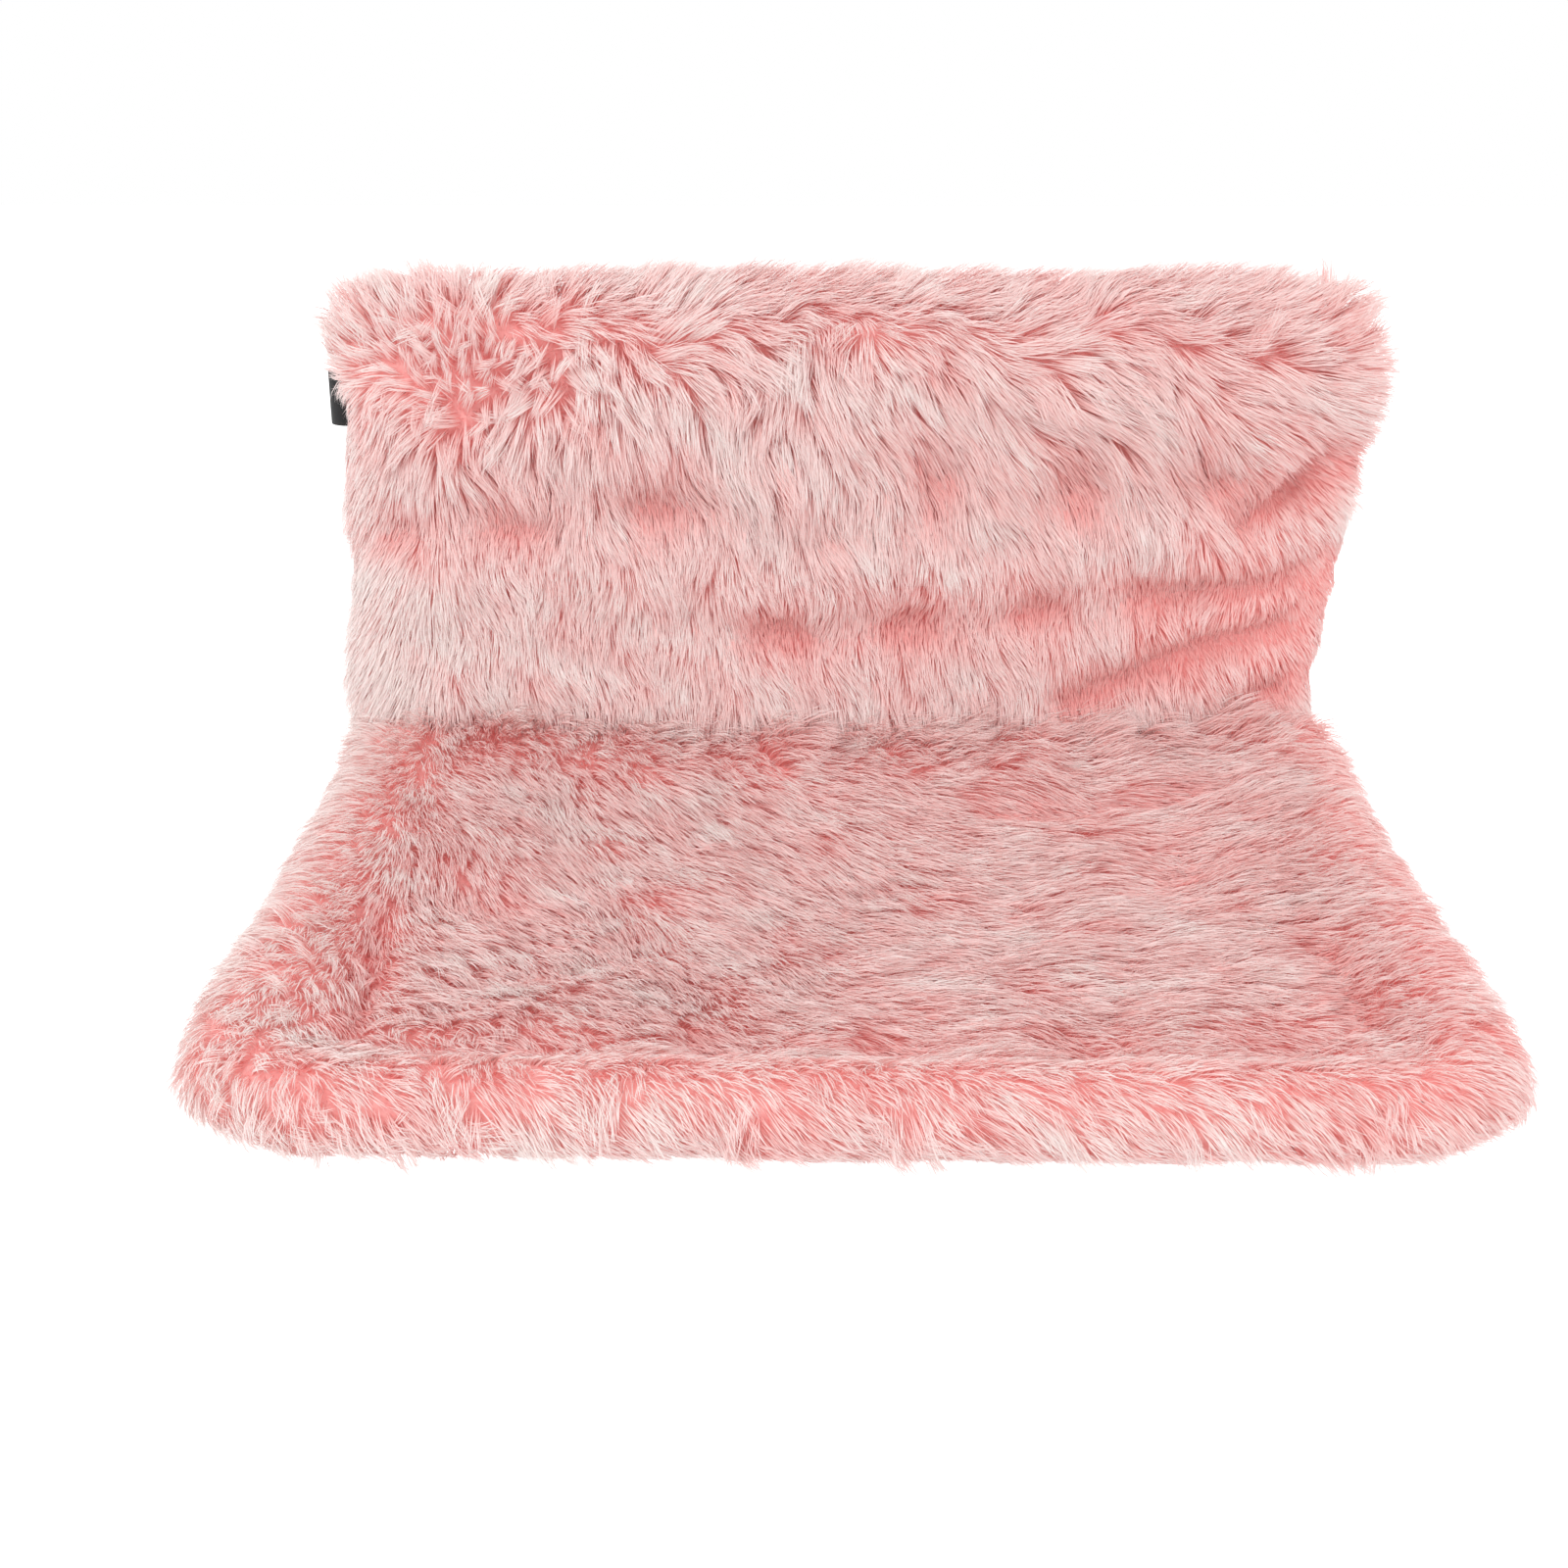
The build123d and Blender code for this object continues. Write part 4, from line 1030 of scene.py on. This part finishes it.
finishes = {
    "frame_steel": moulded("black_powder_coat", (0.028, 0.028, 0.030), 0.42, 0.7 * mm, 0.06 * mm),
    "zinc_steel": plated("zinc_plate", (0.62, 0.63, 0.64), 0.32, (1, 1, 6)),
    "pad_rubber": moulded("pad_rubber", (0.045, 0.045, 0.045), 0.85, 0.4 * mm, 0.08 * mm),
    "cap_plastic": moulded("cap_vinyl", (0.040, 0.040, 0.042), 0.50, 0.9 * mm, 0.05 * mm),
    "knob_plastic": moulded("knob_plastic", (0.035, 0.035, 0.037), 0.55, 0.5 * mm, 0.12 * mm),
    "insert_plastic": moulded("plug_plastic", (0.050, 0.050, 0.050), 0.45, 0.8 * mm, 0.05 * mm),
    "insert_brass": plated("turned_brass", (0.72, 0.50, 0.22), 0.28, (1, 1, 8)),
    "plush": backing,
    "wadding": fibres("white_wadding", (0.92, 0.92, 0.91)),
    "lining_cloth": woven("pink_lining", (0.88, 0.52, 0.50), 0.7 * mm),
    "label_cloth": woven("black_ribbon", (0.007, 0.007, 0.008), 0.6 * mm),
    "zip_cloth": woven("pink_tape", (0.82, 0.44, 0.42), 0.9 * mm),
    "zip_nylon": moulded("pink_nylon", (0.74, 0.40, 0.38), 0.35, 0.6 * mm, 0.03 * mm),
    "zip_metal": plated("plated_zip", (0.66, 0.66, 0.67), 0.25, (6, 1, 1)),
}


def dress(piece, slot, *nodes):
    """Gives a new piece its finish and its body, in the place of its nodes."""
    piece.data.materials.clear()
    piece.data.materials.append(finishes[slot])
    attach(piece, "root")
    if nodes:
        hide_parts(*nodes)
    return piece


# Wadding inside the plush

wadding_gap = 3 * mm  # least depth of skin before it
wadding_rim_share = 0.2
wadding_thin = 1 * mm
wadding_off_skin = 0.6 * mm
wadding_under = 7.5 * mm  # depth of its underside below the tubes' plane


def pillow(across, along):
    """1 in the middle of a pad and thin at its edges, over shares from 0 to 1."""
    swell = math.sqrt((1 - abs(2 * across - 1) ** 6) * (1 - abs(2 * along - 1) ** 6))
    return max(swell, wadding_rim_share)


def pad_object(name, place):
    """Closed pad between its two faces, 0 and 1."""
    parts = slab_parts(lambda a, b: place(a, b, 1), lambda a, b: place(a, b, 0), 60, 30)
    return closed_object(name, parts)


def back_filling():
    low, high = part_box("back_wadding")
    rear_y = skin_back_y - wadding_off_skin

    def place(across, up, face):
        x, z = mix(low.x, high.x, across), mix(low.z, high.z, up)
        full = max(min(high.y - low.y, back_depth(x, z) - wadding_gap), wadding_thin)
        return Vector((x, rear_y - full * (0.5 + (face - 0.5) * pillow(across, up)), z))

    return pad_object("back_filling", place)


def seat_filling():
    low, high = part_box("seat_wadding")
    first = (plane_y - high.y) / -forward.y
    last = (plane_y - low.y) / -forward.y

    def place(across, out, face):
        x, along = mix(low.x, high.x, across), mix(first, last, out)
        sag = seat_sag(x, along)
        under = -wadding_under - sag
        full = max(min(-sag, seat_height(x, along) - wadding_gap) - under, wadding_thin)
        return seat_point(x, along, under + full * (0.5 + (face - 0.5) * pillow(across, out)))

    return pad_object("seat_filling", place)


for piece, node in ((back_filling(), "back_wadding"), (seat_filling(), "seat_wadding")):
    dress(piece, "wadding", node)


# Linings

cloth_thickness = 0.7 * mm
back_cloth_y = -6.3 * mm
zip_cloth_y = -7.1 * mm  # the same cloth beside the zip, under its tapes
seat_cloth_under = 11.8 * mm  # depth of the seat's lining below the tubes' plane
cloth_calm = 18 * mm  # how far from the crease the cloth lies flat
cloth_wave, cloth_ripple, cloth_wrinkle = 75 * mm, 28 * mm, 90 * mm
back_slack, seat_slack = 1.1 * mm, 1.5 * mm
gather_pitch, gather_depth = 9 * mm, 0.5 * mm
lining_x = side_x - 20 * mm
lining_top = bar_z - 23.5 * mm
lining_front = seat_depth - 21 * mm
lining_rear = -1 * mm
zip_low, zip_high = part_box("zip_teeth")
tape_low, tape_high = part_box("zip_tapes")
zip_z = (zip_low.z + zip_high.z) / 2
zip_slot_half = 4.5 * mm
zip_slot_x = tape_high.x - 2.4 * mm


def sheet_object(name, xs, ys, point, left_out=lambda x, y: False):
    """One layer of cloth over a grid, but for the faces that are left out."""
    points = [point(x, y) for y in ys for x in xs]
    faces = []
    for face in grid_faces(len(xs) - 1, len(ys) - 1):
        row, column = divmod(face[0], len(xs))
        if not left_out((xs[column] + xs[column + 1]) / 2, (ys[row] + ys[row + 1]) / 2):
            faces.append(face)
    return mesh_object(name, points, faces)


def thickened(piece, thickness=cloth_thickness):
    """Gives a single layer its thickness, half to each side."""
    solid = piece.modifiers.new("thickness", "SOLIDIFY")
    solid.thickness = thickness
    solid.offset = 0
    return apply_modifiers(piece)


def creased(x, y, end, size):
    """How far cloth stands off its plane: waves, sharp wrinkles, and gathers at its sides and its end."""
    to_side, to_end = lining_x - abs(x), end - y
    edge = min(to_side, to_end)
    run = y if to_side < to_end else x
    place = np.array([x, y, 0])
    slack = np.array([x + 0.8 * y, 0.25 * (y - x), 0])
    wave = 0.6 * ripple(place, cloth_wave, 41) + 0.2 * ripple(place, cloth_ripple, 42)
    wrinkle = math.exp(-((ripple(slack, cloth_wrinkle, 45) / 0.16) ** 2))
    gathers = math.exp(-max(edge, 0) / gather_pitch) * math.sin(2 * math.pi * run / gather_pitch)
    return size * (wave + 0.9 * wrinkle) * smooth(edge, 0, 22 * mm) + gather_depth * gathers


def back_lining_point(x, z):
    off = creased(x, z, lining_top, back_slack)
    slack = smooth(abs(z - zip_z), 13 * mm, 34 * mm) * smooth(z, lining_foot, lining_foot + cloth_calm)
    return Vector((x, mix(zip_cloth_y, back_cloth_y + off, slack), z))


def seat_lining_point(x, along):
    off = creased(x, along, lining_front, seat_slack) * smooth(along, lining_rear, cloth_calm)
    return seat_point(x, along, -seat_cloth_under - seat_sag(x, along) - off)


settle_steps = 14
settle_reach = 3 * mm


def settle(piece, pinned):
    """Lets a sheet hang under its own weight from its pinned points, each point at most so far."""
    rest = [vertex.co.copy() for vertex in piece.data.vertices]
    held = piece.vertex_groups.new(name="held")
    held.add(pinned, 1.0, "REPLACE")
    cloth = piece.modifiers.new("cloth", "CLOTH").settings
    cloth.quality = 6
    cloth.mass = 0.12
    cloth.shrink_min = -0.012
    cloth.vertex_group_mass = held.name
    for step in range(1, settle_steps + 1):
        bpy.context.scene.frame_set(step)
    apply_modifiers(piece)
    bpy.context.scene.frame_set(1)
    piece.vertex_groups.clear()
    for vertex, start in zip(piece.data.vertices, rest):
        move = vertex.co - start
        if move.length > settle_reach:
            vertex.co = start + move * (settle_reach / move.length)


lining_foot = seat_lining_point(0, lining_rear).z


def back_lining_sheet():
    xs = sorted([*np.linspace(-lining_x, lining_x, 160), -zip_slot_x, zip_slot_x])
    zs = sorted([*np.linspace(lining_foot, lining_top, 76), zip_z - zip_slot_half, zip_z + zip_slot_half])
    slot = lambda x, z: abs(x) < zip_slot_x and abs(z - zip_z) < zip_slot_half
    return thickened(sheet_object("back_lining_cloth", xs, zs, back_lining_point, slot))


def seat_lining_sheet():
    xs = np.linspace(-lining_x, lining_x, 110)
    alongs = np.linspace(lining_rear, lining_front, 78)
    piece = sheet_object("seat_lining_cloth", xs, alongs, seat_lining_point)
    settle(piece, grid_rim(len(xs) - 1, len(alongs) - 1))
    return thickened(piece)


back_cloth = dress(back_lining_sheet(), "lining_cloth", "back_lining")
seat_cloth = dress(seat_lining_sheet(), "lining_cloth", "seat_lining")

# Stitches

rear = Vector((0, 1, 0))
lift_off = 2 * mm  # from the cloth to where its nearest point is looked for
thread_radius = 0.28 * mm
stitch_length = 2.6 * mm
stitch_pitch = 3.4 * mm
stitch_inset = 3 * mm
binding_width = 2.2 * mm
tape_stitch_gap = 1.5 * mm  # from a tape's edge to its stitches
binding_pitch = 0.75 * mm
binding_least = 0.1 * mm  # shorter runs of the ring get no stitch
binding_thread = 0.42 * mm
binding_sink = 0.3 * mm * rear
binding_rise = 0.25 * mm * rear


def stitch_row(cloth, lining_point, outward, first, last):
    """Stitches on a cloth's outer side, between two places of its lining."""
    length = math.dist(first, last)
    parts = []
    for number in range(int(length / stitch_pitch)):
        start = number * stitch_pitch / length
        line = []
        for share in (start, start + stitch_length / length / 2, start + stitch_length / length):
            across, along = (mix(a, b, share) for a, b in zip(first, last))
            place = lining_point(across, along) + lift_off * outward
            line.append(cloth.closest_point_on_mesh(place)[1])
        line[1] = line[1] + 1.2 * thread_radius * outward
        parts.append(tube_parts(line, thread_radius, 5))
    return parts


def lining_rows():
    """Topstitching along the sewn edges of both linings and beside the zip's tapes."""
    x, top = lining_x - stitch_inset, lining_top - stitch_inset
    low, front = lining_foot + stitch_inset, lining_front - stitch_inset
    tape_x, beside = tape_high.x, tape_high.z - zip_z + tape_stitch_gap
    on_back = back_cloth, back_lining_point, rear
    on_seat = seat_cloth, seat_lining_point, -upward
    rows = [(*on_back, (-x, top), (x, top))]
    for side in (-1, 1):
        rows.append((*on_back, (side * x, low), (side * x, top)))
        rows.append((*on_back, (-tape_x, zip_z + side * beside), (tape_x, zip_z + side * beside)))
        rows.append((*on_seat, (side * x, 0), (side * x, front)))
    rows.append((*on_seat, (-x, front), (x, front)))
    return mesh_object("lining_stitches", *joined([part for row in rows for part in stitch_row(*row)]))


def slot_ring():
    """Middle line of the binding round one slot, from its centre."""
    low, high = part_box("buttonhole_bindings")
    half_x = high.x - hook_x - binding_width / 2
    half_z = (high.z - low.z - binding_width) / 2
    turns = [(0, -1), (1, -1), (1, 1), (-1, 1), (-1, -1), (0, -1)]
    return rounded_line([(x * half_x, 0, z * half_z) for x, z in turns], 0.8 * binding_width, 6)


def slot_bindings():
    """Close satin stitches round each of the two slots that the hooks' channels pass through."""
    low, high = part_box("buttonhole_bindings")
    ring = slot_ring()
    parts = []
    for side in (-1, 1):
        centre = Vector((side * hook_x, (low.y + high.y) / 2, (low.z + high.z) / 2))
        for a, b in zip(ring, ring[1:]):
            run = b - a
            if run.length < binding_least:
                continue
            reach = run.normalized().cross(rear) * (binding_width / 2)
            count = max(round(run.length / binding_pitch), 1)
            for number in range(count):
                base = centre + a.lerp(b, (number + 0.5) / count)
                line = [base - reach - binding_sink, base + binding_rise, base + reach - binding_sink]
                parts.append(tube_parts(line, binding_thread, 5))
    return mesh_object("slot_bindings", *joined(parts))


stitches = dress(lining_rows(), "lining_cloth")
dress(slot_bindings(), "lining_cloth", "buttonhole_bindings")

# Label and zip

label_gap = 0.5 * mm  # from the label's middle to each of its two layers
label_curl = 9 * mm  # radius that its outer part is curled back to
label_start = -236 * mm  # where the curl starts
label_fold = (0.8, 1.57, 2.34)  # turns round its outer end
label_thickness = 0.45 * mm
label_wave = 0.3 * mm
coil_pitch = 1.5 * mm
coil_wire = 0.32 * mm
tape_gap = 0.2 * mm  # from the zip's middle to each tape
tape_wave = 0.1 * mm


def curled(run, off):
    """Point of the label's line: so far out from where its curl starts, and so far off its middle."""
    turn = max(run, 0) / label_curl
    middle_y = (label_low.y + label_high.y) / 2
    centre = Vector((label_start, middle_y + label_curl, 0))
    ray = Vector((-math.sin(turn), -math.cos(turn), 0))
    return centre + ray * (label_curl - off) - Vector((min(run, 0), 0, 0))


def label_loop():
    """Woven ribbon folded over at its outer end and curled back against the rail."""
    last = label_start - label_low.x - label_gap
    first = label_start - label_high.x
    runs = [mix(first, last, step / 8) for step in range(9)]
    line = [curled(run, -label_gap) for run in runs]
    for turn in label_fold:
        line.append(curled(last + label_gap * math.sin(turn), -label_gap * math.cos(turn)))
    line += [curled(run, label_gap) for run in reversed(runs)]
    zs = np.linspace(label_low.z, label_high.z, 12)

    def point(place, z):
        return line[place] + Vector((0, label_wave * math.sin((z - label_z) / (6 * mm)), z))

    return thickened(sheet_object("seam_label", range(len(line)), zs, point), label_thickness)


def zip_strips():
    """The two woven tapes beside the zip's teeth."""
    middle = (tape_low.y + tape_high.y) / 2
    thick = (tape_high.y - tape_low.y) / 2
    parts = []
    for side in (-1, 1):
        inner, outer = zip_z + side * tape_gap, zip_z + side * (tape_high.z - zip_z)

        def place(along, out, way):
            x, z = mix(tape_low.x, tape_high.x, along), mix(inner, outer, out)
            wave = tape_wave * math.sin(x / (11 * mm)) * out
            return Vector((x, middle + wave + way * thick * (1 - 0.4 * out**8), z))

        parts.append(slab_parts(lambda a, b: place(a, b, -side), lambda a, b: place(a, b, side), 90, 8))
    return closed_object("zip_strips", joined(parts))


def zip_coils():
    """Two nylon coils that mesh along the middle of the zip."""
    middle_y = (zip_low.y + zip_high.y) / 2
    half_y = (zip_high.y - zip_low.y) / 2 - coil_wire
    half_z = (zip_high.z - zip_low.z) / 4
    steps = 10  # a turn
    count = int((zip_high.x - zip_low.x) / coil_pitch) * steps
    parts = []
    for side in (-1, 1):
        line = []
        for step in range(count + 1):
            turn = 2 * math.pi * step / steps + (0 if side > 0 else math.pi)
            z = zip_z + side * half_z - half_z * math.cos(turn)
            line.append((zip_low.x + coil_pitch * step / steps, middle_y + half_y * math.sin(turn), z))
        parts.append(tube_parts(line, coil_wire, 5))
    return mesh_object("zip_coils", *joined(parts))


label = dress(label_loop(), "label_cloth", "side_label")
strips = dress(zip_strips(), "zip_cloth", "zip_tapes")
dress(zip_coils(), "zip_nylon", "zip_teeth")

for subpart in frame["record"]["subparts"]:
    for holder in frame["nodes"][subpart["node"]].material_slots:
        holder.material = finishes[subpart["material_slot"]]

# Stage, light and camera

floor_z = cad_bounds[0].z - 200 * mm
stage_size = 12.0
stage_glow = 0.62
world_light = 0.78


def stage_finish():
    """Pale floor that the camera sees nearly white and that still takes the shadow."""
    finish = Finish("stage_pale", 0.9, Emission_Color=(1, 1, 1))
    speck = finish.noise(0.4)
    finish.colour(finish.ramp(speck, (0.3, (0.80, 0.80, 0.80)), (0.7, (0.82, 0.82, 0.82))))
    finish.set("Emission Strength", finish.maths("MULTIPLY", finish.seen(), stage_glow))
    return finish.material


def build_stage():
    half = stage_size / 2
    corners = [(x * half, y * half, floor_z) for x, y in ((-1, -1), (1, -1), (1, 1), (-1, 1))]
    floor = mesh_object("stage_floor", corners, [(0, 1, 2, 3)])
    floor.data.materials.append(stage_finish())


def build_world():
    """White surroundings that light the object softly and show as white."""
    world = bpy.data.worlds.new("studio")
    bpy.context.scene.world = world
    world.use_nodes = True
    nodes = Nodes(world.node_tree)
    background = nodes.tree.nodes["Background"]
    level = nodes.add("ShaderNodeMapRange", {"Value": nodes.seen(), "To Min": world_light, "To Max": 1.0})
    nodes.feed((1, 1, 1), background.inputs["Color"])
    nodes.feed(level.outputs["Result"], background.inputs["Strength"])


def add_lamp(name, place, aim, size, power):
    """Soft round lamp turned towards its aim."""
    lamp = bpy.data.lights.new(name, "AREA")
    lamp.shape = "DISK"
    lamp.size = size
    lamp.energy = power
    holder = add_object(name, lamp)
    holder.location = place
    holder.rotation_euler = (Vector(aim) - Vector(place)).to_track_quat("-Z", "Y").to_euler()


def build_camera():
    """Camera at the photograph's viewing angle."""
    camera = bpy.data.cameras.new("camera")
    camera.lens = 42.1
    camera.sensor_width = 36
    camera.shift_y = -0.0625
    holder = add_object("camera", camera)
    holder.location = (-0.016, -0.873, 0.136)
    holder.rotation_euler = (math.radians(90 - 19.6), 0, math.radians(0.8))
    bpy.context.scene.camera = holder


build_stage()
build_world()
middle = (0, -0.15, -0.10)
add_lamp("key_lamp", (-1.6, -3.0, 2.6), middle, 3.0, 55)
add_lamp("fill_lamp", (2.8, -2.2, 1.2), middle, 3.0, 20)
add_lamp("rim_lamp", (0.6, 2.6, 2.2), middle, 2.4, 16)
build_camera()
bpy.context.scene.view_settings.view_transform = "Standard"
bpy.context.scene.cycles.diffuse_bounces = 8
